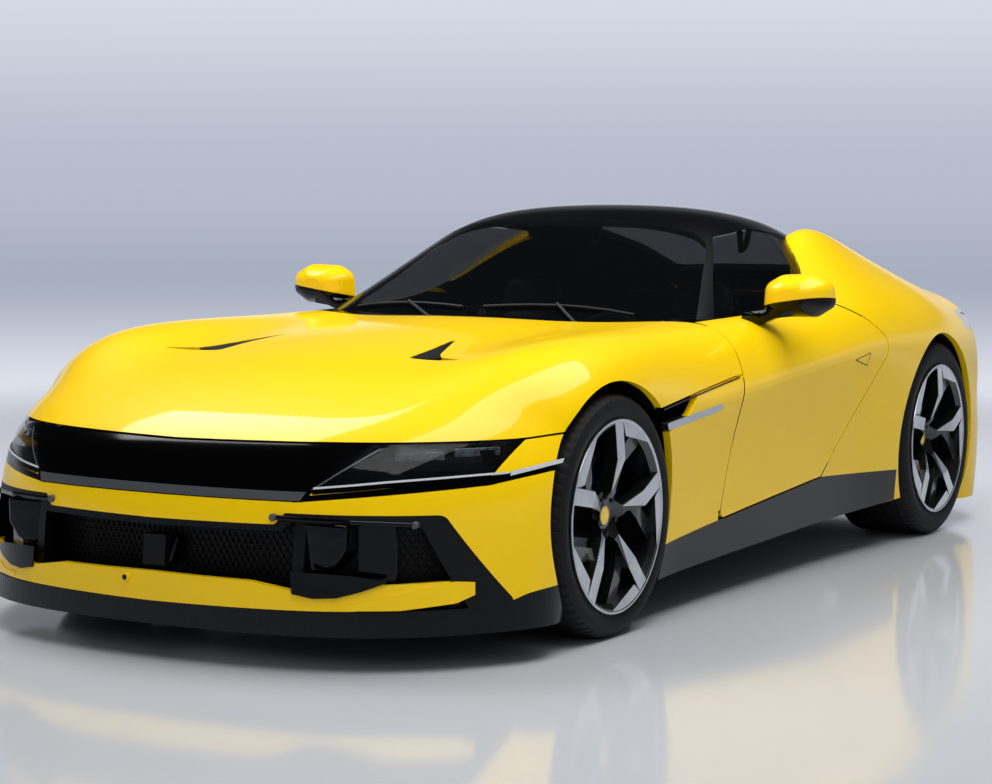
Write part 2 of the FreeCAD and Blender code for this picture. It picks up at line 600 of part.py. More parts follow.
mesh_box = box(0, far, -far, nose_end_y, up(bumper_floor_share), up(520))
mesh_plan_shares = [(0, -2262, 0), (300, -2242, 900), (560, -2180, 700), (740, -2070, 500),
                    (880, -1900, 0), (868, -1892, 0), (730, -2062, 490), (554, -2169, 690),
                    (297, -2231, 890), (0, -2251, 0)]
behind_mesh_shares = [(0, -2251, 0), (297, -2231, 890), (554, -2169, 690), (730, -2062, 490),
                      (868, -1892, 0), (868, -1600, 0), (0, -1600, 0)]
intake_cut = front_prism(intake_front_shares, -far, nose_end_y)
mesh = plan_prism(mesh_plan_shares, up(bumper_floor_share), up(520)).common(intake_cut)
mesh_back = plan_prism(behind_mesh_shares, 0, high)
stage("mesh")
fin_shares = [(460, 16), (820, 12)]
sensor_width = 78.0
sensor_low_share = 262
sensor_high_share = 348
fin_boxes = [box(across(place - thick), across(place + thick), -far, nose_end_y,
                 up(bumper_floor_share), up(430)) for place, thick in fin_shares]
fin_boxes.append(box(0, sensor_width / 2, -far, nose_end_y,
                     up(sensor_low_share), up(sensor_high_share)))
fins = nose_inner.common(Part.makeCompound(fin_boxes)).common(intake_prism).cut(mesh_back)
stage("fins")
grille = mesh.fuse([fins, frame_band])
stage("grille")

tail_panel = tail.common(front_prism(tail_panel_front_shares, tail_lamp_start_y, far, -seat_gap))
tail_lamp = tail.common(front_prism(tail_lamp_front_shares, tail_lamp_start_y, far, -seat_gap))
rear_bumper = tail.common(front_prism(rear_bumper_front_shares, tail_start_y, far)).cut(
    front_prism(diffuser_front_shares, tail_lamp_start_y, far, seat_gap))
diffuser = tail.common(front_prism(diffuser_front_shares, tail_lamp_start_y, far))
stage("tail pieces")
tail = tail.cut([front_prism(tail_panel_front_shares, tail_lamp_start_y, far),
                 front_prism(tail_lamp_front_shares, tail_lamp_start_y, far),
                 front_prism(rear_bumper_front_shares, tail_start_y - overrun, far, seat_gap)])
vent_x = across(850)
vent_blade_prism = side_prism(vent_blade_side_shares, vent_x, door_x_far, seat_gap)
vent_blade = body.cut(body_inner).common(
    side_prism(vent_blade_side_shares, vent_x, door_x_far)).cut(front_arch)
middle = middle.cut([side_prism(vent_side_shares, vent_x, door_x_far), vent_blade_prism])
stage("vents")

tailgate_hinge_y = 850.0
tailgate_hinge_z = 1205.0
tailgate_edge_radius = 85.0


def tailgate_region(grow):
    plan = plan_prism(tailgate_plan_shares, up(600), high, grow)
    barrel = rod(-far, far, tailgate_hinge_y, tailgate_hinge_z,
                 tailgate_edge_radius + half_gap - grow)
    below = box(-far, far, 0, tailgate_hinge_y, 0, high)
    return plan.cut([barrel, below])


canopy_shell = canopy.cut([canopy_inner, body])
stage("canopy shell")
middle = middle.cut(canopy_inner)
tail = tail.cut(canopy_inner)
stage("inside out")
lid_low = middle.fuse(tail).common(tailgate_region(-half_gap))
stage("lid low")
lid_high = canopy_shell.common(tailgate_region(-half_gap))
stage("lid high")
fixed = middle.fuse(tail)
stage("fixed fuse")
fixed = fixed.cut(tailgate_region(half_gap))
stage("fixed cut")
canopy_shell = canopy_shell.cut(tailgate_region(half_gap))
stage("canopy cut")
lid = lid_low.fuse(lid_high)
stage("lid fuse")
rear_glass_prism = plan_prism(rear_glass_plan_shares, up(600), high)
lid = lid.cut(rear_glass_prism)
stage("lid")

screen_prism = plan_prism(windscreen_plan_shares, up(600), high)
window_prism = side_prism(side_window_shares, 0, far)
roof = canopy_shell.cut([screen_prism, window_prism])
stage("roof")
canopy_glass = canopy.cut([canopy_under_glass, body])
stage("glass sheet")
lid_glass = canopy_glass.common(
    plan_prism(rear_glass_plan_shares, up(600), high, -seat_gap))
screen = canopy_glass.common(plan_prism(windscreen_plan_shares, up(600), high, -seat_gap))
split = side_prism(quarter_split_shares, 0, far)
quarter_glass = canopy_glass.common(
    side_prism(side_window_shares, 0, far, -seat_gap)).common(split)
door_glass = canopy_glass.common(side_prism(side_window_shares, 0, far, -run_gap)).cut(
    side_prism(quarter_split_shares, 0, far, run_gap))
stage("glass")
for n, s in (("fixed", fixed), ("bonnet", bonnet_skin), ("door", door_solid), ("roof", roof),
             ("lid", lid), ("visor", visor), ("lamp_cover", lamp_cover), ("blade", lamp_blade),
             ("bumper", bumper), ("splitter", splitter), ("low_blade", low_blade),
             ("grille", grille), ("rear_bumper", rear_bumper), ("diffuser", diffuser),
             ("tail_panel", tail_panel), ("tail_lamp", tail_lamp), ("vent", vent_blade),
             ("skirt", skirt), ("screen", screen), ("lid_glass", lid_glass),
             ("door_glass", door_glass), ("quarter", quarter_glass)):
    print(n, [round(q.Volume / 1000, 1) for q in s.Solids])

cowl_zone = box(0, across(830), along(-800), along(-300), up(780), high)
cowl = fixed.common(cowl_zone)
fixed = fixed.cut(cowl_zone)
for q in cowl.Solids:
    print("cowl", round(q.Volume / 1000, 1), q.BoundBox)
stage("structure")
# Fixed structure keeps clear of the lids by the running gap
structure_inset = skin_wall + shut_gap
inner_free = half_sheet(inset_rows(body_rows, structure_inset))
bulkhead_y = -702.0
bulkhead_wall = 20.0
floor_low_z = 130.0
tray_low_z = 166.0
tray_wall = 12.0
cowl_shelf_z = 800.0
side_wall_x = 757.0
side_wall = 12.0
rear_bulkhead_y = 690.0
boot_floor_z = 560.0
boot_wall_x = 600.0
boot_rear_y = 2130.0
rail_x = 430.0
rail_width = 70.0
rail_low_z = 300.0
rail_high_z = 420.0
rear_rail_x = 500.0
rear_rail_width = 60.0
nose_beam_y = -2140.0
nose_beam_depth = 50.0
nose_beam_x = 500.0
radiator_y = -2040.0
radiator_depth = 40.0
radiator_x = 425.0
radiator_high_z = 560.0
tail_beam_y = 2080.0
tail_beam_x = 560.0
house_gap = 4.0
house_wall = 9.0
house_window_y = 205.0
house_window_high_z = 625.0
under_tray_rear_y = 1950.0

floor_top = floor_low_z + floor_wall + seat_gap
bulkhead_back = bulkhead_y + bulkhead_wall + seat_gap
bulkhead_front = bulkhead_y - seat_gap
rear_wall_back = rear_bulkhead_y + bulkhead_wall + seat_gap
tray_top = tray_low_z + tray_wall + seat_gap
rail_top = rail_high_z + seat_gap
boot_floor_top = boot_floor_z + tray_wall + seat_gap
floor_box = box(0, sill_inner_x - seat_gap, bulkhead_y, rear_bulkhead_y + bulkhead_wall,
                floor_low_z, floor_low_z + floor_wall)
sill_cut = side_prism(skirt_side_shares, sill_inner_x - seat_gap, far, seat_gap)
bulkhead = box(0, far, bulkhead_y, bulkhead_y + bulkhead_wall, floor_top,
               high).common(inner_free).cut(sill_cut)
cowl_shelf = box(0, far, bulkhead_y, along(-430), cowl_shelf_z,
                 cowl_shelf_z + tray_wall).common(inner_free)
cowl_shelf = cowl_shelf.cut(door_zone(door_inner_x - shut_gap, shut_gap))
front_wall_shares = [(-690, 130, 0), (-600, 130, 0), (-600, 262, 0), (-520, 667, 0),
                     (-458, 870, 0), (-600, 870, 0), (-690, 805, 0)]
rear_wall_shares = [(300, 130, 0), (470, 560, 60), (470, 860, 0), (700, 860, 0), (700, 130, 0)]
cabin_zone = box(0, far, bulkhead_back, rear_bulkhead_y - seat_gap, floor_top, high)
front_side_wall = side_prism(front_wall_shares, side_wall_x - side_wall, side_wall_x).common(
    inner_free).common(cabin_zone).common(
    box(0, far, -far, far, 0, cowl_shelf_z - seat_gap))
rear_side_wall = side_prism(rear_wall_shares, side_wall_x - side_wall, side_wall_x).common(
    cabin_zone)
rear_bulkhead = box(0, side_wall_x, rear_bulkhead_y, rear_bulkhead_y + bulkhead_wall,
                    floor_top, up(860))
boot_floor = box(0, boot_wall_x, rear_wall_back, boot_rear_y, boot_floor_z,
                 boot_floor_z + tray_wall).common(inner_free)
boot_side = box(boot_wall_x - tray_wall, boot_wall_x, rear_wall_back, boot_rear_y,
                rail_top, up(900)).common(inner_free)
boot_back = box(0, boot_wall_x, boot_rear_y - tray_wall, boot_rear_y, rail_top,
                up(880)).common(inner_free)
front_tray = box(0, rail_x + rail_width, radiator_y, bulkhead_front, tray_low_z,
                 tray_low_z + tray_wall)
rear_tray = box(0, boot_wall_x, rear_wall_back, under_tray_rear_y, tray_low_z,
                tray_low_z + tray_wall)
rail = box(rail_x, rail_x + rail_width, nose_beam_y, bulkhead_front, rail_low_z, rail_high_z)
rear_rail = box(rear_rail_x, rear_rail_x + rear_rail_width, rear_wall_back, boot_rear_y,
                rail_low_z, rail_high_z)
rear_web = box(rear_rail_x, rear_rail_x + tray_wall, rear_wall_back, under_tray_rear_y,
               tray_top, rail_low_z)
nose_beam = box(0, nose_beam_x, nose_beam_y, nose_beam_y + nose_beam_depth, rail_low_z,
                rail_high_z)
radiator = box(0, radiator_x + tray_wall, radiator_y, radiator_y + radiator_depth, tray_top,
               radiator_high_z)
tail_beam = box(0, tail_beam_x, tail_beam_y, far, rail_low_z, rail_high_z).common(body_inner)


def house_liner(axle_y, radius, wheel_z, x_in):
    outer = radius + house_gap + house_wall
    ring = rod(x_in, far, axle_y, wheel_z, outer).cut(
        rod(x_in - overrun, far, axle_y, wheel_z, radius + house_gap))
    wall = rod(x_in - tray_wall, x_in, axle_y, wheel_z, outer)
    wall = wall.cut(box(x_in - overrun, far, axle_y - house_window_y, axle_y + house_window_y,
                        0, house_window_high_z))
    liner = ring.fuse(wall).common(inner_free).common(box(0, far, -far, far, tray_low_z, high))
    return liner.cut([sill_cut,
                      side_prism(trim_side_shares, sill_inner_x - seat_gap, far, seat_gap),
                      splitter_cut, side_prism(vent_side_shares, vent_x, far, seat_gap),
                      vent_blade_prism])


front_liner = house_liner(front_axle_y, front_arch_radius, front_tyre_radius, front_house_inner_x)
rear_liner = house_liner(rear_axle_y, rear_arch_radius, rear_tyre_radius, rear_house_inner_x)
front_link_x = front_house_inner_x - tray_wall - seat_gap
rear_link_x = rear_house_inner_x - tray_wall - seat_gap
liner_link = box(rail_x + rail_width, front_link_x, front_axle_y + house_window_y,
                 front_axle_y + house_window_y + overrun, rail_low_z, rail_high_z)
liner_link_ahead = box(rail_x + rail_width, front_link_x,
                       front_axle_y - house_window_y - overrun,
                       front_axle_y - house_window_y, rail_low_z, rail_high_z)
rear_liner_link = box(rear_rail_x + rear_rail_width, rear_link_x,
                      rear_axle_y + house_window_y, rear_axle_y + house_window_y + overrun,
                      rail_low_z, rail_high_z)
rear_liner_link_ahead = box(rear_rail_x + rear_rail_width, rear_link_x,
                            rear_axle_y - house_window_y - overrun,
                            rear_axle_y - house_window_y, rail_low_z, rail_high_z)

stage("hinges")
door_low_hinge_share = 360
door_low_arm_angle = 57.0
door_low_arm_reach = 160.0
door_high_hinge_share = 640
door_high_arm_angle = 41.0
door_high_arm_reach = 190.0
pin_radius = 7.0
barrel_radius = 13.0
barrel_length = 50.0
lug_wall = 10.0
lug_play = 0.4
arm_width = 16.0
post_reach = door_hinge_y - bulkhead_y - bulkhead_wall


def door_leaf(level, angle, reach):
    low = up(level) - barrel_length / 2
    high_end = low + barrel_length
    barrel = post(door_hinge_x, door_hinge_y, low, high_end, barrel_radius)
    arm = box(door_hinge_x - arm_width / 2, door_hinge_x + arm_width / 2, door_hinge_y,
              door_hinge_y + reach, low, high_end)
    arm.rotate(Vector(door_hinge_x, door_hinge_y, 0), Vector(0, 0, 1), angle)
    bore = post(door_hinge_x, door_hinge_y, low - overrun, high_end + overrun,
                pin_radius + pin_fit)
    return barrel.fuse(arm).cut(bore)


def door_post(level):
    low = up(level) - barrel_length / 2
    high_end = low + barrel_length
    pin = post(door_hinge_x, door_hinge_y, low - lug_wall - lug_play,
               high_end + lug_wall + lug_play, pin_radius)
    parts = [pin]
    for z in (low - lug_play - lug_wall, high_end + lug_play):
        lug = box(door_hinge_x - barrel_radius, door_hinge_x + barrel_radius,
                  bulkhead_back, door_hinge_y, z, z + lug_wall)
        parts += [lug, post(door_hinge_x, door_hinge_y, z, z + lug_wall, barrel_radius)]
    return joined(parts)


door_solid = door_solid.fuse([
    door_leaf(door_low_hinge_share, door_low_arm_angle, door_low_arm_reach),
    door_leaf(door_high_hinge_share, door_high_arm_angle, door_high_arm_reach)])
door_posts = [door_post(door_low_hinge_share), door_post(door_high_hinge_share)]

bonnet_hinge_x = 660.0
bonnet_hinge_y = -445.0
bonnet_hinge_z = 885.0
lid_pin_radius = 6.0
lid_barrel_radius = 10.0
lid_arm_width = 16.0
lid_lug_wall = 8.0
bonnet_arm_shares = [(-450, 875, 0), (-450, 893, 0), (-540, 893, 0), (-680, 884, 0),
                     (-680, 868, 0), (-540, 868, 0)]
bonnet_lug_shares = [(-457, 812, 0), (-457, 894, 8), (-434, 894, 8), (-434, 812, 0)]
notch_half = lid_arm_width / 2 + lid_lug_wall + shut_gap

bonnet_arm = side_prism(bonnet_arm_shares, bonnet_hinge_x - lid_arm_width / 2,
                        bonnet_hinge_x + lid_arm_width / 2)
bonnet_arm = bonnet_arm.fuse(rod(bonnet_hinge_x - lid_arm_width / 2,
                                 bonnet_hinge_x + lid_arm_width / 2,
                                 bonnet_hinge_y, bonnet_hinge_z, lid_barrel_radius))
bonnet_skin = bonnet_skin.fuse(bonnet_arm).cut(
    rod(0, far, bonnet_hinge_y, bonnet_hinge_z, lid_pin_radius + pin_fit))
notch = box(bonnet_hinge_x - notch_half, bonnet_hinge_x + notch_half, along(-700),
            bonnet_hinge_y + lid_barrel_radius + shut_gap, cowl_shelf_z + tray_wall, high)
cowl = cowl.cut(notch)


def lid_lugs(lug_shares, hinge_x):
    inside = lid_arm_width / 2 + lug_play
    outside = inside + lid_lug_wall
    return [side_prism(lug_shares, hinge_x + inside, hinge_x + outside),
            side_prism(lug_shares, hinge_x - outside, hinge_x - inside)]


bonnet_pin = rod(bonnet_hinge_x - lid_arm_width, bonnet_hinge_x + lid_arm_width,
                 bonnet_hinge_y, bonnet_hinge_z, lid_pin_radius)
shelf_top = box(0, far, -far, far, cowl_shelf_z + tray_wall + seat_gap, high)
bonnet_lugs = joined(lid_lugs(bonnet_lug_shares, bonnet_hinge_x) + [bonnet_pin]).common(shelf_top)

lid_hinge_x = 330.0
neck_low_angle = -75.0
neck_high_angle = 10.0
neck_wall = 20.0
lid_lug_shares = [(838, 1193, 8), (838, 1236, 0), (862, 1234, 0), (862, 1193, 8)]


# Curved arm that dips under the roof edge and comes up inside the lid
def gooseneck(x_mid, y_mid, z_mid, radius, low_angle, high_angle):
    outer = radius + neck_wall
    start = x_mid - lid_arm_width / 2
    ring = sector(start, lid_arm_width, y_mid, z_mid, outer, low_angle, high_angle)
    hole = rod(start - overrun, start + overrun, y_mid, z_mid, radius)
    band = ring.cut(hole)
    spoke = box(start, start + lid_arm_width, y_mid, y_mid + outer, z_mid - lid_barrel_radius,
                z_mid + lid_barrel_radius)
    spoke = spoke.common(rod(start, start + lid_arm_width, y_mid, z_mid, outer))
    spoke.rotate(Vector(start, y_mid, z_mid), Vector(1, 0, 0), low_angle)
    barrel = rod(start, start + lid_arm_width, y_mid, z_mid, lid_barrel_radius)
    return joined([band, spoke, barrel])


neck = gooseneck(lid_hinge_x, tailgate_hinge_y, tailgate_hinge_z,
                 tailgate_edge_radius + half_gap, neck_low_angle, neck_high_angle)
lid = lid.fuse(neck).cut(rod(0, far, tailgate_hinge_y, tailgate_hinge_z,
                             lid_pin_radius + pin_fit))
lid_pin = rod(lid_hinge_x - lid_arm_width, lid_hinge_x + lid_arm_width, tailgate_hinge_y,
              tailgate_hinge_z, lid_pin_radius)
roof = roof.fuse(lid_lugs(lid_lug_shares, lid_hinge_x) + [lid_pin])
stage("hinges done")

front_bulkhead = bulkhead.fuse(cowl_shelf)
boot_tub = joined([boot_floor, boot_side, boot_back])
front_frame = joined([rail, nose_beam, radiator, liner_link, liner_link_ahead])
rear_frame = joined([rear_rail, rear_web, tail_beam, rear_liner_link, rear_liner_link_ahead])
for n, s in (("bulkhead", front_bulkhead), ("fside", front_side_wall), ("rside", rear_side_wall),
             ("tub", boot_tub), ("ff", front_frame), ("rf", rear_frame), ("fl", front_liner),
             ("rl", rear_liner), ("lugs", bonnet_lugs)):
    print(n, [round(q.Volume / 1000, 1) for q in s.Solids])

stage("interior")
seat_x = 365.0
seat_half_width = 245.0
seat_well_half_width = 165.0
seat_side_shares = [(-170, 150, 0), (-178, 325, 40), (-120, 350, 30), (215, 300, 60),
                    (345, 640, 200), (415, 900, 60), (440, 1000, 40), (515, 1000, 40),
                    (500, 860, 60), (395, 480, 80), (370, 150, 0)]
seat_well_shares = [(-120, 322, 30), (205, 262, 60), (318, 600, 200), (395, 880, 0),
                    (300, 1200, 0), (-260, 900, 0), (-260, 420, 0)]
seat = side_prism(seat_side_shares, seat_x - seat_half_width, seat_x + seat_half_width)
seat = seat.cut(side_prism(seat_well_shares, seat_x - seat_well_half_width,
                           seat_x + seat_well_half_width))
dash_half_width = 738.0
dash_side_shares = [(-682, 560, 0), (-682, 770, 0), (-600, 792, 60), (-350, 800, 60),
                    (-262, 762, 30), (-272, 690, 20), (-335, 650, 40), (-350, 560, 30)]
console_half_width = 108.0
console_side_shares = [(-500, 150, 0), (-500, 600, 0), (-300, 600, 60), (-120, 400, 80),
                       (480, 400, 40), (530, 150, 0)]
dashboard = side_prism(dash_side_shares, -dash_half_width, dash_half_width).fuse(
    side_prism(console_side_shares, -console_half_width, console_half_width))
wheel_ring_radius = 175.0
wheel_ring_tube = 15.0
wheel_centre_y = -205.0
wheel_centre_z = 735.0
wheel_tilt = -68.0
wheel_hub_radius = 52.0
wheel_hub_wall = 40.0
column_radius = 30.0
column_length = 170.0
ring = Part.makeTorus(wheel_ring_radius, wheel_ring_tube)
hub = Part.makeCylinder(wheel_hub_radius, wheel_hub_wall, Vector(0, 0, -wheel_hub_wall / 2))
bar = Part.makeBox(wheel_ring_radius * 2, wheel_ring_tube * 2, wheel_ring_tube,
                   Vector(-wheel_ring_radius, -wheel_ring_tube, -wheel_ring_tube / 2))
stem = Part.makeBox(wheel_ring_tube * 2, wheel_ring_radius, wheel_ring_tube,
                    Vector(-wheel_ring_tube, 0, -wheel_ring_tube / 2))
column = Part.makeCylinder(column_radius, column_length, Vector(0, 0, -column_length))
hand_wheel = joined([ring, hub, bar, stem, column])
hand_wheel.rotate(Vector(0, 0, 0), Vector(1, 0, 0), wheel_tilt)
hand_wheel.translate(Vector(seat_x, wheel_centre_y, wheel_centre_z))
dashboard = dashboard.cut(hand_wheel)

engine_half_width = 320.0
engine_front_y = -1640.0
engine_rear_y = -770.0
engine_low_z = 178.0
engine_high_z = 735.0
engine = box(-engine_half_width, engine_half_width, engine_front_y, engine_rear_y, engine_low_z,
             engine_high_z)

stage("mirrors")
mirror_centre_x = 979.0
mirror_centre_z = 976.0
mirror_half_width = 126.0
mirror_front_y = -150.0
mirror_back_y = -40.0
mirror_arm_shares = [(800, 875, 0), (850, 875, 0), (912, 900, 0), (972, 908, 0),
                     (972, 936, 0), (880, 926, 0), (800, 916, 0)]
mirror_arm_front_y = -135.0
mirror_arm_rear_y = -75.0
# Outline of the mirror housing in thousandths of its half width, and for each section
# its share of the depth and of the outline
pod_outline_shares = [(-1000, -380, 250), (-960, 300, 350), (-500, 560, 500), (450, 600, 500),
                      (960, 330, 300), (1000, -250, 250), (500, -560, 300), (-700, -580, 250)]
pod_section_shares = [(0, 300), (130, 620), (430, 880), (1000, 1000)]


def pod_section(depth_share, size_share):
    y = mirror_front_y + (mirror_back_y - mirror_front_y) * grained(depth_share)
    size = mirror_half_width * grained(size_share)
    return rounded_wire(pod_outline_shares, lambda u, v: Vector(
        mirror_centre_x + grained(u) * size, y, mirror_centre_z + grained(v) * size), size)


pod = Part.makeLoft([pod_section(d, w) for d, w in pod_section_shares], True)
if pod.Volume < 0:
    pod.reverse()
mirror_arm = front_prism(mirror_arm_shares, mirror_arm_front_y, mirror_arm_rear_y)
door_mirror = pod.fuse(mirror_arm).cut(body)
door_mirror = clean(door_mirror, crumb / 4)

stage("wheels")
rim_half_width = 136.0
rim_lip = 8.0
bead_radius = 268.0
barrel_inner_radius = 262.0
spoke_count = 5
hub_radius = 72.0
hub_length = 90.0
cap_radius = 33.0
cap_wall = 8.0
spindle_radius = 30.0
spindle_length = 82.0
face_centre = 88.0
spoke_depth = 44.0
leg_drop = 25.0
leg_depth = 26.0
spoke_reach = 279.0
# Outer face of the wheel as pairs of offset and radius, and the outlines of a spoke, of its
# facet beside the rim and of its set-back second leg, all in thousandths of the rim radius
face_shares = [(310, 0), (310, 140), (401, 260), (482, 600), (479, 1000)]
spoke_shares = [(0, -150, 0), (0, 150, 0), (300, 78, 60), (598, 140, 60), (996, 92, 0),
                (996, -92, 0), (598, -36, 200), (260, -14, 0), (120, -150, 0)]
facet_shares = [(825, 158, 12), (960, 60, 0), (1010, 80, 0), (850, 600, 0), (725, 690, 0)]
leg_shares = [(430, 60, 0), (560, 60, 30), (866, 500, 0), (860, 560, 0), (731, 684, 0),
              (470, 150, 60)]
disc_radius = 199.0
disc_wall = 34.0
disc_inner_x = -40.0
bell_radius = 92.0
bell_wall = 8.0
disc_hole_radius = 46.0


def revolved(points):
    outline = [Vector(x, r, 0) for x, r in points]
    face = Part.Face(Part.makePolygon(outline + [outline[0]]))
    solid = face.revolve(Vector(0, 0, 0), Vector(1, 0, 0), 360)
    if solid.Volume < 0:
        solid.reverse()
    return solid


def tyre(radius, width):
    half = width / 2
    rise = radius - rim_radius
    shoulder = rise * 0.28
    bead = rim_half_width + (width - front_tyre_width) / 2 - rim_lip * 2 - seat_gap
    flank = bead + rim_lip
    points = [(-bead, bead_radius), (-flank, rim_radius),
              (-half, rim_radius + rise * 0.4), (-half, radius - shoulder),
              (-half + shoulder * 0.35, radius - shoulder * 0.3), (-half + shoulder, radius),
              (half - shoulder, radius), (half - shoulder * 0.35, radius - shoulder * 0.3),
              (half, radius - shoulder), (half, rim_radius + rise * 0.4),
              (flank, rim_radius), (bead, bead_radius)]
    return revolved(points)


def rim(width_shift):
    half = rim_half_width + width_shift
    barrel = revolved([(-half, rim_radius - rim_lip), (-half, rim_radius),
                       (-half + rim_lip, rim_radius), (-half + rim_lip * 2, bead_radius),
                       (half - rim_lip * 2, bead_radius), (half - rim_lip, rim_radius),
                       (half, rim_radius), (half, rim_radius - rim_lip),
                       (half - rim_lip * 2, barrel_inner_radius),
                       (-half + rim_lip * 2, barrel_inner_radius)])
    outer = [(grained(offset) * rim_radius, grained(radius) * rim_radius)
             for offset, radius in face_shares]
    lifts = [0, 0, width_shift / 2, width_shift, width_shift]
    outer = [(offset + lift, radius) for (offset, radius), lift in zip(outer, lifts)]

    def dish(top, depth):
        high_side = [(offset - top, radius) for offset, radius in outer]
        low_side = [(offset - top - depth, radius) for offset, radius in outer[::-1]]
        return revolved(high_side + low_side)

    def blade(shares):
        face = Part.Face(rounded_wire(
            shares, lambda u, v: Vector(0, grained(v) * rim_radius,
                                        grained(u) * rim_radius), rim_radius))
        return face.extrude(Vector(half, 0, 0))

    reach = rod(-far, far, 0, 0, bead_radius - seat_gap).fuse(
        rod(half - rim_lip, half, 0, 0, spoke_reach))
    spoke = dish(0, spoke_depth).common(blade(spoke_shares).fuse(blade(facet_shares)))
    leg = dish(leg_drop, leg_depth).common(blade(leg_shares))
    fork = spoke.fuse(leg).common(reach)
    forks = []
    for k in range(spoke_count):
        turned = fork.copy()
        turned.rotate(Vector(0, 0, 0), Vector(1, 0, 0), 360 / spoke_count * k)
        forks.append(turned)
    star = joined(forks)
    hub_rod = rod(0, face_centre, 0, 0, hub_radius)
    cap = rod(face_centre - cap_wall, face_centre + cap_wall / 2, 0, 0, cap_radius)
    bore = rod(-overrun, spindle_length + lug_play, 0, 0, spindle_radius + pin_fit)
    return joined([barrel, star, hub_rod, cap]).cut(bore)


def brake_disc():
    plate = rod(disc_inner_x, disc_inner_x + disc_wall, 0, 0, disc_radius)
    plate = plate.cut(rod(disc_inner_x - overrun, overrun, 0, 0, bell_radius - bell_wall))
    bell = rod(disc_inner_x, 0, 0, 0, bell_radius)
    hollow = rod(disc_inner_x - overrun, -bell_wall, 0, 0, bell_radius - bell_wall)
    return plate.fuse(bell.cut(hollow)).cut(
        rod(disc_inner_x - overrun, overrun, 0, 0, disc_hole_radius))


upright_inner_x = -88.0
upright_wall = 30.0
upright_half_width = 50.0
lug_inner_z = 205.0
lug_outer_z = 219.0
arm_gap = 3.0
arm_wall = 12.0
ball_pin_radius = 8.0
ball_eye_radius = 16.0
caliper_inner_radius = 122.0
caliper_outer_radius = 220.0
caliper_outer_x = 24.0
caliper_bridge = 206.0
caliper_half_angle = 27.0
caliper_lean = 20.0
arm_inner_half = 100.0
knuckle_front_offset = kingpin_x - front_track / 2


# Upright with its spindle and brake caliper, about the wheel centre with the outside at +X
def knuckle(eye_x, steered):
    plate = box(upright_inner_x, upright_inner_x + upright_wall, -upright_half_width,
                upright_half_width, -lug_outer_z, lug_outer_z)
    spindle = rod(upright_inner_x, spindle_length, 0, 0, spindle_radius)
    parts = [plate, spindle]
    for side in (1, -1):
        z0 = min(side * lug_inner_z, side * lug_outer_z)
        z1 = max(side * lug_inner_z, side * lug_outer_z)
        parts.append(box(upright_inner_x, eye_x, -ball_eye_radius, ball_eye_radius, z0, z1))
        parts.append(post(eye_x, 0, z0, z1, ball_eye_radius))
    start = upright_inner_x
    band = sector(start, caliper_outer_x - start, 0, 0, caliper_outer_radius,
                  caliper_lean - caliper_half_angle, caliper_lean + caliper_half_angle)
    band = band.cut([rod(start - overrun, far, 0, 0, caliper_inner_radius),
                     rod(disc_inner_x - run_gap, disc_inner_x + disc_wall + run_gap, 0, 0,
                         caliper_bridge)])
    bracket = box(upright_inner_x, upright_inner_x + upright_wall, 0,
                  (caliper_inner_radius + caliper_outer_radius) / 2, 0,
                  upright_half_width * 2)
    shape = joined(parts + [band, bracket])
    if steered:
        shape = shape.cut(post(eye_x, 0, -far, far, ball_pin_radius + pin_fit))
    return shape


def wishbones(axle_y, wheel_z, wheel_x, eye_offset, base_x, base_width, rail_low, rail_high,
              steered):
    eye_x = wheel_x + eye_offset
    parts = []
    for side in (1, -1):
        z_in = lug_outer_z + (arm_gap if steered else 0)
        z0 = min(side * z_in, side * (z_in + arm_wall)) + wheel_z
        corners = [Vector(base_x, axle_y - arm_inner_half, z0),
                   Vector(eye_x, axle_y - ball_eye_radius, z0),
                   Vector(eye_x, axle_y + ball_eye_radius, z0),
                   Vector(base_x, axle_y + arm_inner_half, z0)]
        face = Part.Face(Part.makePolygon(corners + [corners[0]]))
        plate = face.extrude(Vector(0, 0, arm_wall))
        parts += [plate, post(eye_x, axle_y, z0, z0 + arm_wall, ball_eye_radius)]
        pin_ends = (side * lug_inner_z + wheel_z, side * (z_in + arm_wall) + wheel_z)
        if steered:
            parts.append(post(eye_x, axle_y, min(pin_ends), max(pin_ends), ball_pin_radius))
        z1 = rail_low if side < 0 else z0 + arm_wall
        z2 = z0 if side < 0 else rail_high
        parts.append(box(base_x, base_x + base_width, axle_y - arm_inner_half,
                         axle_y + arm_inner_half, min(z1, z2), max(z1, z2)))
    return parts


front_x = front_track / 2
rear_x = rear_track / 2
front_place = Vector(front_x, front_axle_y, front_tyre_radius)
rear_place = Vector(rear_x, rear_axle_y, rear_tyre_radius)
rear_eye_offset = -40.0
rail_edge = rail_x + rail_width
arm_base_width = 45.0
front_arms = wishbones(front_axle_y, front_tyre_radius, front_x, knuckle_front_offset,
                       rail_edge - arm_base_width, arm_base_width, rail_low_z, rail_high_z,
                       True)
rear_arms = wishbones(rear_axle_y, rear_tyre_radius, rear_x, rear_eye_offset,
                      boot_wall_x + seat_gap, arm_base_width, rail_high_z, rail_high_z, False)


def placed(shape, place):
    moved = shape.copy()
    moved.translate(place)
    return moved


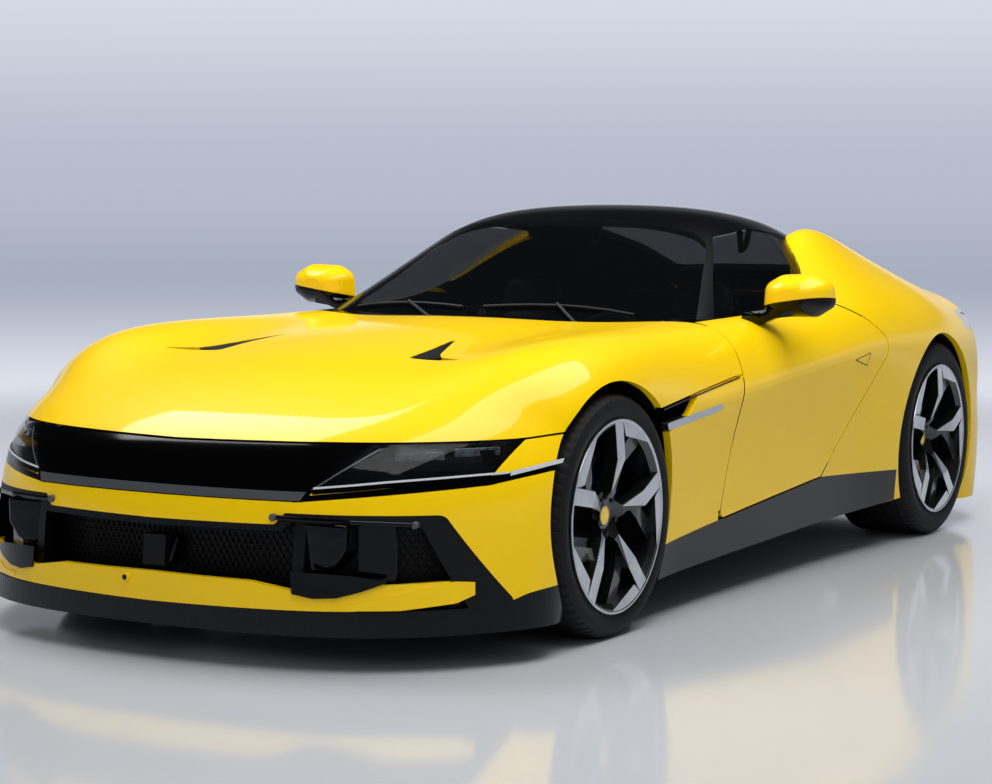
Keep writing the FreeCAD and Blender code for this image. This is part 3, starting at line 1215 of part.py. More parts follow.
front_tyre = tyre(front_tyre_radius, front_tyre_width)
rear_tyre = tyre(rear_tyre_radius, rear_tyre_width)
front_rim = rim(0)
rear_rim = rim((rear_tyre_width - front_tyre_width) / 2)
disc = brake_disc()
front_knuckle = knuckle(knuckle_front_offset, True)
rear_knuckle = knuckle(rear_eye_offset, False)
front_mounts = box(rail_edge - arm_base_width - seat_gap, rail_edge + seat_gap,
                   front_axle_y - arm_inner_half - seat_gap,
                   front_axle_y + arm_inner_half + seat_gap, 0, rail_low_z)
front_frame = front_frame.cut(front_mounts)
front_tray = front_tray.cut(front_mounts)
for n, s in (("rim", front_rim), ("lid", lid), ("roof", roof), ("fixed", fixed),
             ("grille", grille)):
    for q in s.Solids:
        print(n, round(q.Volume / 1000, 1), q.BoundBox)
stage("exhausts")
pipe_radius = 44.0
pipe_wall = 4.0
pipe_z = 195.0
pipe_places = [390.0, 505.0]
pipe_start_y = 2080.0
pipe_end_y = 2318.0


def along_rod(x, z, y0, y1, radius):
    return Part.makeCylinder(radius, y1 - y0, Vector(x, y0, z), Vector(0, 1, 0))


pipes = [along_rod(x, pipe_z, pipe_start_y, pipe_end_y, pipe_radius).cut(
    along_rod(x, pipe_z, pipe_start_y + overrun, far, pipe_radius - pipe_wall))
    for x in pipe_places]
diffuser = diffuser.cut([along_rod(x, pipe_z, pipe_start_y, far, pipe_radius + seat_gap)
                         for x in pipe_places])
pipe_bridge = box(pipe_places[0], rear_rail_x + rear_rail_width, pipe_start_y,
                  pipe_start_y + pipe_radius, pipe_z - pipe_wall, pipe_z + pipe_wall)
pipe_hanger = box(rear_rail_x, rear_rail_x + rear_rail_width / 2, pipe_start_y,
                  pipe_start_y + pipe_radius, pipe_z, rail_low_z)
pipes = joined(pipes + [pipe_bridge, pipe_hanger])

stage("save")
save("bonnet_vents", both(clean(bonnet_vent, crumb / 10)))
save("lamp_units", both(clean(lamp_case, crumb)))
save("body_shell", whole(clean(fixed, crumb * 5)))
save("cowl_panel", whole(clean(cowl, crumb)))
trays = [whole(floor_box), whole(front_tray), whole(rear_tray)]
save("floor_pan", Part.makeCompound(trays))
save("cabin_walls", Part.makeCompound([whole(front_bulkhead), whole(rear_bulkhead),
                                       both(front_side_wall), both(rear_side_wall)]))
save("boot_tub", whole(boot_tub))
save("chassis_frame", Part.makeCompound([whole(front_frame), whole(rear_frame)]))
save("wheel_liners", Part.makeCompound([both(clean(front_liner, crumb)),
                                        both(clean(rear_liner, crumb))]))
save("hinge_posts", both(Part.makeCompound(door_posts + [bonnet_lugs])))
save("bonnet_panel", whole(clean(bonnet_skin, crumb)))
save("left_door_panel", clean(door_solid, crumb))
save("right_door_panel", mirror(clean(door_solid, crumb)))
save("side_skirts", both(skirt))
save("roof_panel", whole(clean(roof, crumb)))
save("fixed_glass", Part.makeCompound([whole(clean(screen, crumb / 40)),
                                       both(clean(quarter_glass, crumb / 40))]))
save("left_door_glass", clean(door_glass, crumb / 40))
save("right_door_glass", mirror(clean(door_glass, crumb / 40)))
save("left_mirror", door_mirror)
save("right_mirror", mirror(door_mirror))
save("tailgate_panel", whole(clean(lid, crumb)))
save("tailgate_glass", whole(clean(lid_glass, crumb / 40)))
save("nose_visor", whole(clean(visor, crumb)))
save("headlamp_covers", both(lamp_cover))
save("lamp_blades", both(lamp_blade))
save("front_bumper", whole(clean(bumper, crumb)))
save("front_splitter", whole(splitter))
save("front_low_blade", whole(clean(low_blade, crumb)))
save("front_grille", whole(clean(grille, crumb)))
save("rear_bumper", whole(clean(rear_bumper, crumb)))
save("rear_diffuser", whole(clean(diffuser, crumb)))
save("tail_panel", whole(clean(tail_panel, crumb / 4)))
save("tail_lamps", both(clean(tail_lamp, crumb / 4)))
save("fender_blades", both(clean(vent_blade, crumb / 8)))
save("seats", both(seat))
save("dashboard", dashboard)
save("steering_wheel", hand_wheel)
save("engine_block", engine)
save("exhaust_pipes", both(pipes))
save("suspension_arms", both(Part.makeCompound([joined(front_arms[:4]), joined(front_arms[4:]),
                                                joined(rear_arms)])))
save("front_left_knuckle", placed(front_knuckle, front_place))
save("front_right_knuckle", mirror(placed(front_knuckle, front_place)))
save("rear_knuckles", both(placed(rear_knuckle, rear_place)))
for place, name, tyre_shape, rim_shape in (
        (front_place, "front", front_tyre, front_rim), (rear_place, "rear", rear_tyre, rear_rim)):
    for piece, shape in (("tyre", tyre_shape), ("rim", rim_shape), ("disc", disc)):
        left = placed(shape, place)
        save(name + "_left_" + piece, left)
        save(name + "_right_" + piece, mirror(left))
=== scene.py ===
# Coupe car: finishes, fine pieces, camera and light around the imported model
import math

import bmesh
import bpy
from mathutils import Euler, Matrix, Vector
from mathutils.bvhtree import BVHTree
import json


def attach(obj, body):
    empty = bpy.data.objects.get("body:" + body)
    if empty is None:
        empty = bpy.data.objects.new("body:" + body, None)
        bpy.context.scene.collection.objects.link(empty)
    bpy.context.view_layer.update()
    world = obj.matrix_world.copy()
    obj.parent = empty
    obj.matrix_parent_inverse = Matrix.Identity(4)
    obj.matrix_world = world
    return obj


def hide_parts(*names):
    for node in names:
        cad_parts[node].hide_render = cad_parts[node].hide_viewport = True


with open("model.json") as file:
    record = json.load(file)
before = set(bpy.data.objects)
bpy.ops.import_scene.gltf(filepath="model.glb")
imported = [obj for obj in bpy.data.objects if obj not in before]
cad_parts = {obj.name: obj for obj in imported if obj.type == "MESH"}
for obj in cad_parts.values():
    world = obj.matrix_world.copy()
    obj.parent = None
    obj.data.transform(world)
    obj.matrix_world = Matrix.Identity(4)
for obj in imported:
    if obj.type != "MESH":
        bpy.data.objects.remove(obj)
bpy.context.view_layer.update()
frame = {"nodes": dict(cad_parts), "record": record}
nodes = frame["nodes"]
print("frame loaded,", len(nodes), "nodes")

weldGap = 0.00002
sideSigns = (("left", 1), ("right", -1))


# Colours and shader nodes

def toLinear(hexText):
    values = [int(hexText[i:i + 2], 16) / 255 for i in (1, 3, 5)]
    return [v / 12.92 if v <= 0.04045 else ((v + 0.055) / 1.055) ** 2.4 for v in values] + [1]


def addNode(tree, kind, settings=None, links=None):
    node = tree.nodes.new(kind)
    for name, value in (settings or {}).items():
        if name in node.inputs:
            node.inputs[name].default_value = value
        else:
            setattr(node, name, value)
    for name, source in (links or {}).items():
        tree.links.new(source, node.inputs[name])
    return node


def newFinish(name, colour, settings):
    finish = bpy.data.materials.new(name)
    finish.use_nodes = True
    shader = finish.node_tree.nodes["Principled BSDF"]
    shader.inputs["Base Color"].default_value = toLinear(colour)
    for key, value in settings.items():
        shader.inputs[key].default_value = value
    return finish, finish.node_tree, shader


# A finish with its layers, each a function below and that function's numbers
def layered(name, colour, settings, *layers):
    finish, tree, shader = newFinish(name, colour, settings)
    for layer, *numbers in layers:
        layer(tree, shader, *numbers)
    return finish


def objectCoords(tree):
    return addNode(tree, "ShaderNodeTexCoord").outputs["Object"]


def addBump(tree, shader, height, depth, strength=1.0, socket="Normal"):
    bump = addNode(tree, "ShaderNodeBump", {"Distance": depth / 1000, "Strength": strength},
                   {"Height": height})
    tree.links.new(bump.outputs["Normal"], shader.inputs[socket])


def addNoise(tree, size, detail):
    noise = addNode(tree, "ShaderNodeTexNoise", {"Scale": 1000 / size, "Detail": detail},
                    {"Vector": objectCoords(tree)})
    return noise.outputs["Fac"]


def setRoughness(tree, shader, source, low, high):
    rough = addNode(tree, "ShaderNodeMapRange", {"To Min": low, "To Max": high},
                    {"Value": source})
    tree.links.new(rough.outputs["Result"], shader.inputs["Roughness"])


# Slow colour change, roughness change and fine bump from noise, sizes in millimetres
def variation(tree, shader, colours, patchSize, roughRange, grainSize, bumpDepth):
    patches = addNoise(tree, patchSize, 4.0)
    ramp = addNode(tree, "ShaderNodeValToRGB", {}, {"Fac": patches})
    for stop, place, colour in zip(ramp.color_ramp.elements, (0.35, 0.65), colours):
        stop.position = place
        stop.color = toLinear(colour)
    tree.links.new(ramp.outputs["Color"], shader.inputs["Base Color"])
    setRoughness(tree, shader, patches, *roughRange)
    addBump(tree, shader, addNoise(tree, grainSize, 2.0), bumpDepth)


# Roughness drifting a little over the surface, as handling and polishing leave it
def roughDrift(tree, shader, patchSize, low, high):
    setRoughness(tree, shader, addNoise(tree, patchSize, 3.0), low, high)


# Fine ripple that a sprayed coat keeps, seen where a lamp's edge is mirrored in it
def orangePeel(tree, shader, size, depth):
    addBump(tree, shader, addNoise(tree, size, 1.0), depth, 0.35, "Coat Normal")


# Objects and modes

def toObjectMode():
    bpy.ops.object.mode_set(mode="OBJECT")


# Nothing selected, and edit mode left where a piece is still in it
def deselect():
    if bpy.context.object and bpy.context.object.mode == "EDIT":
        toObjectMode()
    bpy.ops.object.select_all(action="DESELECT")


def activate(piece):
    deselect()
    piece.select_set(True)
    bpy.context.view_layer.objects.active = piece


# Edit mode with the whole mesh selected
def editAll(piece):
    activate(piece)
    bpy.ops.object.mode_set(mode="EDIT")
    bpy.ops.mesh.select_all(action="SELECT")


# Faces turned outwards, after vertices nearer than a gap are joined
def turnOut(piece, gap=0.0):
    editAll(piece)
    if gap:
        bpy.ops.mesh.remove_doubles(threshold=gap)
    bpy.ops.mesh.normals_make_consistent(inside=False)
    toObjectMode()
    return piece


def settle(piece):
    activate(piece)
    bpy.ops.object.transform_apply(location=True, rotation=True, scale=True)
    return piece


def addModifier(piece, kind, settings):
    modifier = piece.modifiers.new(kind.lower(), kind)
    for name, value in settings.items():
        setattr(modifier, name, value)


def applyAll(piece):
    activate(piece)
    for modifier in list(piece.modifiers):
        bpy.ops.object.modifier_apply(modifier=modifier.name)
    return piece


def bevelled(piece, width, segments=2):
    if not width:
        return piece
    addModifier(piece, "BEVEL", {"width": width, "segments": segments, "limit_method": "ANGLE"})
    return applyAll(piece)


def thickened(piece, wall, offset=0.0):
    addModifier(piece, "SOLIDIFY", {"thickness": wall, "offset": offset})
    return applyAll(piece)


def smooth(piece, angle=40):
    activate(piece)
    bpy.ops.object.shade_smooth_by_angle(angle=math.radians(angle))
    return piece


def moved(piece, *place):
    piece.data.transform(Matrix.Translation(place))
    return piece


def dress(piece, name, finish, body):
    piece.name = name
    piece.data.name = name
    piece.data.materials.clear()
    piece.data.materials.append(finish)
    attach(piece, body)


def copyOf(piece, move=None):
    twin = piece.copy()
    twin.data = piece.data.copy()
    bpy.context.scene.collection.objects.link(twin)
    if move:
        twin.data.transform(move)
    return twin


# The same piece on the other side of the car, with its faces turned out again
def otherSide(piece):
    twin = copyOf(piece, Matrix.Scale(-1, 4, (1, 0, 0)))
    editAll(twin)
    bpy.ops.mesh.flip_normals()
    toObjectMode()
    return twin


def bothSides(piece, name, finish, bodies=("chassis", "chassis")):
    twin = otherSide(piece)
    dress(piece, "left_" + name, finish, bodies[0])
    dress(twin, "right_" + name, finish, bodies[1])


def join(pieces):
    activate(pieces[0])
    for piece in pieces[1:]:
        piece.select_set(True)
    bpy.ops.object.join()
    return pieces[0]


# A block shaped in edit mode, with rounded edges
def roundedBlock(centre, size, bevel, segments=3):
    deselect()
    bpy.ops.mesh.primitive_cube_add(size=1, location=centre)
    piece = bpy.context.object
    piece.scale = size
    return bevelled(settle(piece), bevel, segments)


def rodBetween(start, end, radius, sides=24, bevel=0.0):
    start, end = Vector(start), Vector(end)
    run = end - start
    deselect()
    bpy.ops.mesh.primitive_cylinder_add(vertices=sides, radius=radius, depth=run.length,
                                        location=(start + end) / 2)
    piece = bpy.context.object
    piece.rotation_euler = run.to_track_quat("Z", "Y").to_euler()
    return bevelled(settle(piece), bevel)


def setPoints(piece, points):
    for vertex, point in zip(piece.data.vertices, points):
        vertex.co = Vector(point)
    return piece


# A closed line through the points, or the face that it bounds
def loopFrom(points, fill="NOTHING"):
    deselect()
    bpy.ops.mesh.primitive_circle_add(vertices=len(points), radius=1, fill_type=fill)
    return setPoints(bpy.context.object, points)


# A grid of faces whose vertices stand at the points, row after row
def sheetFrom(columns, rows, points):
    deselect()
    bpy.ops.mesh.primitive_grid_add(x_subdivisions=columns, y_subdivisions=rows, size=1)
    return setPoints(bpy.context.object, points)


# A flat outline filled and given a wall along one direction
def plateFrom(points, wall, bevel=0.0, segments=2):
    piece = loopFrom(points, "NGON")
    editAll(piece)
    bpy.ops.mesh.extrude_region_move(TRANSFORM_OT_translate={"value": wall})
    return bevelled(turnOut(piece), bevel, segments)


# A closed profile (x, radius) spun round a wheel's axis
def spunProfile(profile, steps):
    piece = loopFrom([(x, 0, radius) for x, radius in profile])
    editAll(piece)
    bpy.ops.mesh.spin(steps=steps, angle=math.tau, center=(0, 0, 0), axis=(1, 0, 0))
    return turnOut(piece, weldGap)


# The part of a line between two points at a share from 0 to 1
def between(first, last, share):
    return [p + (q - p) * share for p, q in zip(first, last)]

# Half grids of the body and the canopy, in millimetres, from the centre line outwards
bodyRows = [
    [(0, -2366, 100), (170, -2362, 100), (340, -2345, 100), (510, -2310, 100), (658, -2245, 100),
     (782, -2148, 100), (870, -2035, 100), (932, -1935, 100), (968, -1860, 100), (983, -1800, 100),
     (984, -1755, 100), (970, -1700, 100), (930, -1650, 100)],
    [(0, -2362, 250), (170, -2357, 250), (340, -2338, 250), (508, -2302, 250), (655, -2234, 250),
     (778, -2132, 250), (866, -2015, 250), (928, -1915, 250), (965, -1840, 250), (982, -1780, 248),
     (984, -1735, 225), (975, -1680, 170), (945, -1615, 100)],
    [(0, -2345, 400), (170, -2340, 400), (340, -2322, 400), (506, -2285, 400), (652, -2216, 400),
     (776, -2112, 400), (864, -1995, 400), (924, -1895, 400), (962, -1822, 400), (981, -1765, 385),
     (985, -1715, 330), (978, -1645, 220), (958, -1575, 100)],
    [(0, -2322, 490), (170, -2317, 490), (338, -2300, 492), (502, -2262, 497), (648, -2195, 505),
     (770, -2092, 513), (858, -1975, 520), (918, -1872, 525), (958, -1800, 515), (980, -1745, 485),
     (986, -1690, 410), (980, -1610, 270), (965, -1530, 100)],
    [(0, -2250, 612), (170, -2245, 613), (335, -2225, 615), (495, -2188, 619), (635, -2120, 624),
     (755, -2020, 628), (840, -1905, 628), (898, -1800, 624), (945, -1735, 610), (978, -1690, 570),
     (987, -1640, 480), (982, -1570, 300), (970, -1485, 100)],
    [(0, -2100, 690), (165, -2094, 690), (328, -2074, 690), (485, -2038, 690), (622, -1970, 697),
     (742, -1880, 705), (832, -1790, 700), (898, -1722, 680), (948, -1682, 652), (980, -1652, 610),
     (988, -1600, 530), (984, -1540, 340), (970, -1450, 100)],
    [(0, -1870, 768), (160, -1866, 767), (320, -1852, 764), (478, -1828, 762), (622, -1788, 774),
     (752, -1740, 784), (850, -1700, 768), (922, -1668, 732), (968, -1642, 692), (988, -1608, 637),
     (990, -1550, 545), (984, -1490, 350), (970, -1410, 100)],
    [(0, -1640, 815), (160, -1640, 814), (320, -1637, 808), (475, -1628, 806), (622, -1612, 828),
     (758, -1596, 850), (862, -1582, 828), (940, -1566, 780), (980, -1550, 728), (992, -1528, 670),
     (992, -1480, 560), (984, -1430, 350), (970, -1370, 100)],
    [(0, -1420, 848), (160, -1420, 846), (320, -1420, 838), (472, -1420, 834), (622, -1420, 858),
     (760, -1420, 882), (868, -1420, 868), (946, -1420, 820), (984, -1420, 760), (995, -1415, 690),
     (993, -1395, 560), (984, -1360, 350), (970, -1330, 100)],
    [(0, -1190, 872), (160, -1190, 870), (318, -1190, 862), (470, -1190, 856), (618, -1190, 874),
     (756, -1190, 894), (866, -1190, 880), (948, -1190, 828), (986, -1190, 750), (994, -1195, 675),
     (990, -1205, 540), (980, -1220, 330), (965, -1240, 100)],
    [(0, -950, 890), (160, -950, 888), (316, -950, 880), (466, -950, 874), (612, -950, 884),
     (748, -950, 894), (858, -950, 880), (945, -950, 812), (984, -950, 662), (982, -955, 622),
     (958, -965, 480), (943, -975, 300), (938, -985, 100)],
    [(0, -700, 903), (160, -700, 901), (314, -700, 894), (462, -700, 888), (606, -700, 892),
     (740, -700, 895), (848, -700, 878), (937, -700, 805), (980, -700, 674), (978, -700, 636),
     (948, -700, 485), (933, -700, 300), (932, -700, 100)],
    [(0, -430, 900), (160, -430, 900), (312, -430, 897), (458, -430, 895), (600, -430, 898),
     (728, -430, 900), (838, -430, 885), (932, -430, 812), (980, -430, 696), (977, -430, 658),
     (946, -430, 500), (930, -430, 305), (930, -430, 100)],
    [(0, -100, 880), (160, -100, 880), (312, -100, 882), (458, -100, 886), (600, -100, 896),
     (730, -100, 908), (842, -100, 892), (934, -100, 826), (983, -100, 724), (979, -100, 686),
     (947, -100, 520), (930, -100, 315), (930, -100, 100)],
    [(0, 250, 880), (160, 250, 880), (312, 250, 882), (458, 250, 890), (600, 250, 905),
     (733, 250, 930), (848, 250, 912), (940, 250, 850), (987, 250, 754), (982, 250, 714),
     (950, 250, 540), (932, 250, 325), (930, 250, 100)],
    [(0, 550, 895), (160, 550, 896), (310, 550, 900), (455, 550, 925), (595, 550, 1030),
     (722, 550, 1010), (850, 550, 950), (948, 550, 878), (992, 550, 782), (989, 550, 737),
     (962, 550, 560), (942, 550, 345), (938, 550, 100)],
    [(0, 800, 920), (160, 800, 922), (305, 800, 950), (445, 800, 1110), (572, 800, 1252),
     (682, 800, 1155), (818, 800, 1020), (942, 800, 905), (996, 800, 802), (999, 800, 737),
     (985, 795, 572), (968, 785, 370), (950, 770, 100)],
    [(0, 1050, 930), (160, 1050, 931), (305, 1050, 955), (450, 1050, 1090), (568, 1050, 1218),
     (672, 1050, 1135), (805, 1050, 1018), (935, 1050, 910), (997, 1050, 812), (1004, 1045, 722),
     (1000, 1030, 562), (985, 990, 362), (960, 930, 100)],
    [(0, 1290, 940), (160, 1290, 941), (305, 1290, 958), (448, 1290, 1045), (562, 1290, 1142),
     (668, 1290, 1088), (800, 1290, 1000), (930, 1290, 906), (994, 1285, 810), (1004, 1275, 712),
     (1002, 1240, 562), (988, 1150, 352), (965, 1020, 100)],
    [(0, 1540, 948), (160, 1540, 949), (303, 1540, 958), (444, 1540, 1004), (558, 1540, 1064),
     (668, 1535, 1032), (792, 1520, 970), (915, 1500, 888), (982, 1470, 794), (1002, 1430, 702),
     (1002, 1370, 562), (988, 1260, 342), (965, 1090, 100)],
    [(0, 1800, 948), (160, 1800, 949), (302, 1800, 953), (440, 1798, 966), (556, 1790, 996),
     (668, 1775, 974), (782, 1740, 928), (890, 1690, 862), (962, 1640, 778), (990, 1570, 690),
     (996, 1480, 552), (985, 1350, 332), (960, 1160, 100)],
    [(0, 2050, 942), (160, 2050, 942), (306, 2048, 944), (442, 2040, 946), (562, 2020, 952),
     (668, 1990, 936), (770, 1945, 900), (866, 1880, 842), (935, 1810, 762), (970, 1730, 675),
     (985, 1630, 537), (980, 1480, 322), (960, 1230, 100)],
    [(0, 2245, 936), (160, 2243, 936), (310, 2235, 935), (445, 2218, 933), (565, 2190, 928),
     (670, 2150, 912), (765, 2095, 880), (850, 2020, 828), (912, 1935, 745), (950, 1850, 645),
     (972, 1755, 502), (975, 1600, 302), (960, 1300, 100)],
    [(0, 2280, 902), (165, 2277, 901), (320, 2266, 899), (460, 2245, 896), (585, 2212, 888),
     (692, 2168, 872), (783, 2108, 842), (862, 2032, 790), (917, 1950, 708), (952, 1865, 610),
     (972, 1775, 462), (970, 1640, 272), (955, 1360, 100)],
    [(0, 2285, 790), (165, 2282, 790), (322, 2268, 788), (465, 2243, 785), (592, 2206, 778),
     (702, 2155, 765), (795, 2090, 740), (868, 2015, 695), (920, 1935, 625), (953, 1853, 532),
     (970, 1770, 402), (968, 1650, 242), (950, 1420, 100)],
    [(0, 2330, 640), (165, 2326, 640), (326, 2310, 638), (472, 2280, 635), (602, 2236, 628),
     (716, 2178, 615), (810, 2105, 592), (880, 2020, 555), (928, 1932, 500), (957, 1845, 427),
     (970, 1760, 332), (965, 1660, 212), (945, 1470, 100)],
    [(0, 2366, 470), (165, 2362, 470), (330, 2345, 468), (480, 2312, 465), (612, 2265, 460),
     (727, 2200, 450), (822, 2120, 435), (890, 2028, 410), (934, 1932, 375), (960, 1840, 327),
     (970, 1755, 262), (962, 1665, 182), (940, 1520, 100)],
    [(0, 2350, 280), (165, 2346, 280), (329, 2330, 279), (478, 2297, 277), (610, 2250, 275),
     (725, 2185, 270), (820, 2106, 262), (889, 2014, 250), (934, 1920, 235), (960, 1832, 212),
     (968, 1750, 182), (955, 1670, 147), (930, 1560, 100)],
    [(0, 2320, 100), (165, 2316, 100), (328, 2300, 100), (476, 2268, 100), (607, 2220, 100),
     (721, 2156, 100), (815, 2078, 100), (884, 1988, 100), (930, 1897, 100), (956, 1815, 100),
     (963, 1740, 100), (945, 1670, 100), (900, 1600, 100)],
]
canopyRows = [
    [(0, -730, 700), (200, -725, 700), (385, -700, 700), (560, -650, 700), (680, -600, 700),
     (770, -550, 700), (830, -500, 700), (850, -460, 700)],
    [(0, -690, 850), (200, -685, 850), (385, -660, 848), (560, -610, 842), (680, -560, 835),
     (770, -510, 828), (830, -470, 795), (850, -440, 700)],
    [(0, -510, 942), (200, -505, 940), (385, -485, 934), (555, -448, 924), (670, -405, 910),
     (760, -365, 888), (815, -345, 838), (850, -335, 700)],
    [(0, -280, 1090), (195, -275, 1087), (372, -255, 1078), (525, -215, 1056), (625, -165, 1025),
     (715, -130, 970), (790, -110, 890), (850, -100, 700)],
    [(0, -20, 1215), (190, -15, 1211), (360, 5, 1200), (500, 45, 1172), (585, 90, 1135),
     (680, 110, 1060), (785, 120, 930), (850, 130, 700)],
    [(0, 180, 1275), (185, 182, 1271), (350, 190, 1258), (485, 205, 1228), (565, 225, 1185),
     (665, 240, 1090), (780, 250, 945), (850, 260, 700)],
    [(0, 430, 1296), (180, 430, 1292), (345, 430, 1279), (475, 432, 1249), (552, 440, 1204),
     (655, 450, 1105), (775, 460, 960), (850, 470, 700)],
    [(0, 720, 1282), (178, 720, 1278), (335, 720, 1266), (462, 720, 1238), (540, 722, 1194),
     (640, 725, 1105), (765, 730, 980), (840, 735, 700)],
    [(0, 1000, 1238), (172, 1000, 1235), (325, 1000, 1223), (445, 1000, 1195), (520, 1000, 1153),
     (610, 1000, 1080), (730, 1000, 980), (820, 1000, 700)],
    [(0, 1350, 1150), (165, 1350, 1148), (310, 1350, 1138), (425, 1350, 1115), (500, 1350, 1080),
     (590, 1350, 1020), (700, 1350, 940), (800, 1350, 700)],
    [(0, 1700, 1058), (160, 1700, 1056), (300, 1700, 1048), (415, 1700, 1030), (490, 1700, 1000),
     (580, 1700, 955), (690, 1700, 890), (780, 1700, 700)],
    [(0, 2050, 965), (160, 2050, 964), (300, 2050, 958), (415, 2050, 945), (490, 2050, 925),
     (560, 2040, 888), (620, 2010, 830), (670, 1975, 700)],
    [(0, 2185, 900), (160, 2185, 900), (300, 2175, 893), (405, 2155, 880), (470, 2130, 858),
     (530, 2095, 820), (585, 2055, 775), (625, 2010, 700)],
    [(0, 2210, 700), (200, 2206, 700), (300, 2195, 700), (405, 2172, 700), (470, 2145, 700),
     (530, 2108, 700), (580, 2070, 700), (610, 2040, 700)],
]


guideSettings = {"levels": 4, "reach": 0.0012, "leastAgreement": 0.9, "millimetre": 0.001}


# A subdivided sheet that follows the same grid as the body's skin
def guideSheet(name, halfRows):
    rows = [[(-x, y, z) for x, y, z in row[:0:-1]] + list(row) for row in halfRows]
    points = [Vector(point) * guideSettings["millimetre"] for row in rows for point in row]
    guide = sheetFrom(len(rows[0]) - 1, len(rows) - 1, points)
    guide.name = name
    addModifier(guide, "SUBSURF", {"levels": guideSettings["levels"],
                                   "render_levels": guideSettings["levels"],
                                   "boundary_smooth": "PRESERVE_CORNERS"})
    applyAll(guide)
    activate(guide)
    bpy.ops.object.shade_smooth()
    guide.hide_render = True
    guide.hide_viewport = True
    return guide


# Faces of a node that lie on the guide take its normals, and all others stay as they are
def followGuide(piece, guide, tree, groupName):
    chosen = []
    for face in piece.data.polygons:
        normal = tree.find_nearest(face.center, guideSettings["reach"])[1]
        if normal is not None and abs(normal.dot(face.normal)) > guideSettings["leastAgreement"]:
            chosen.extend(face.vertices)
            face.use_smooth = True
    if not chosen:
        return
    group = piece.vertex_groups.new(name=groupName)
    group.add(chosen, 1.0, "REPLACE")
    addModifier(piece, "DATA_TRANSFER", {
        "object": guide, "use_loop_data": True, "data_types_loops": {"CUSTOM_NORMAL"},
        "loop_mapping": "POLYINTERP_NEAREST", "vertex_group": groupName})


def skinTree(guide, groupName):
    guideMesh = bmesh.new()
    guideMesh.from_mesh(guide.data)
    tree = BVHTree.FromBMesh(guideMesh)
    guideMesh.free()
    for name in skinNodes:
        followGuide(nodes[name], guide, tree, groupName)
    return tree


skinNodes = ["body_shell", "cowl_panel", "bonnet_panel", "left_door_panel", "right_door_panel",
             "side_skirts", "roof_panel", "fixed_glass",
             "left_door_glass", "right_door_glass", "tailgate_panel", "tailgate_glass",
             "nose_visor", "headlamp_covers", "lamp_blades", "front_bumper", "front_splitter",
             "front_low_blade", "front_grille", "rear_bumper", "rear_diffuser", "tail_panel",
             "tail_lamps", "fender_blades"]
bodyGuide = guideSheet("bodyGuide", bodyRows)
canopyGuide = guideSheet("canopyGuide", canopyRows)
bodyTree = skinTree(bodyGuide, "onBody")
canopyTree = skinTree(canopyGuide, "onCanopy")
print("skin normals done")

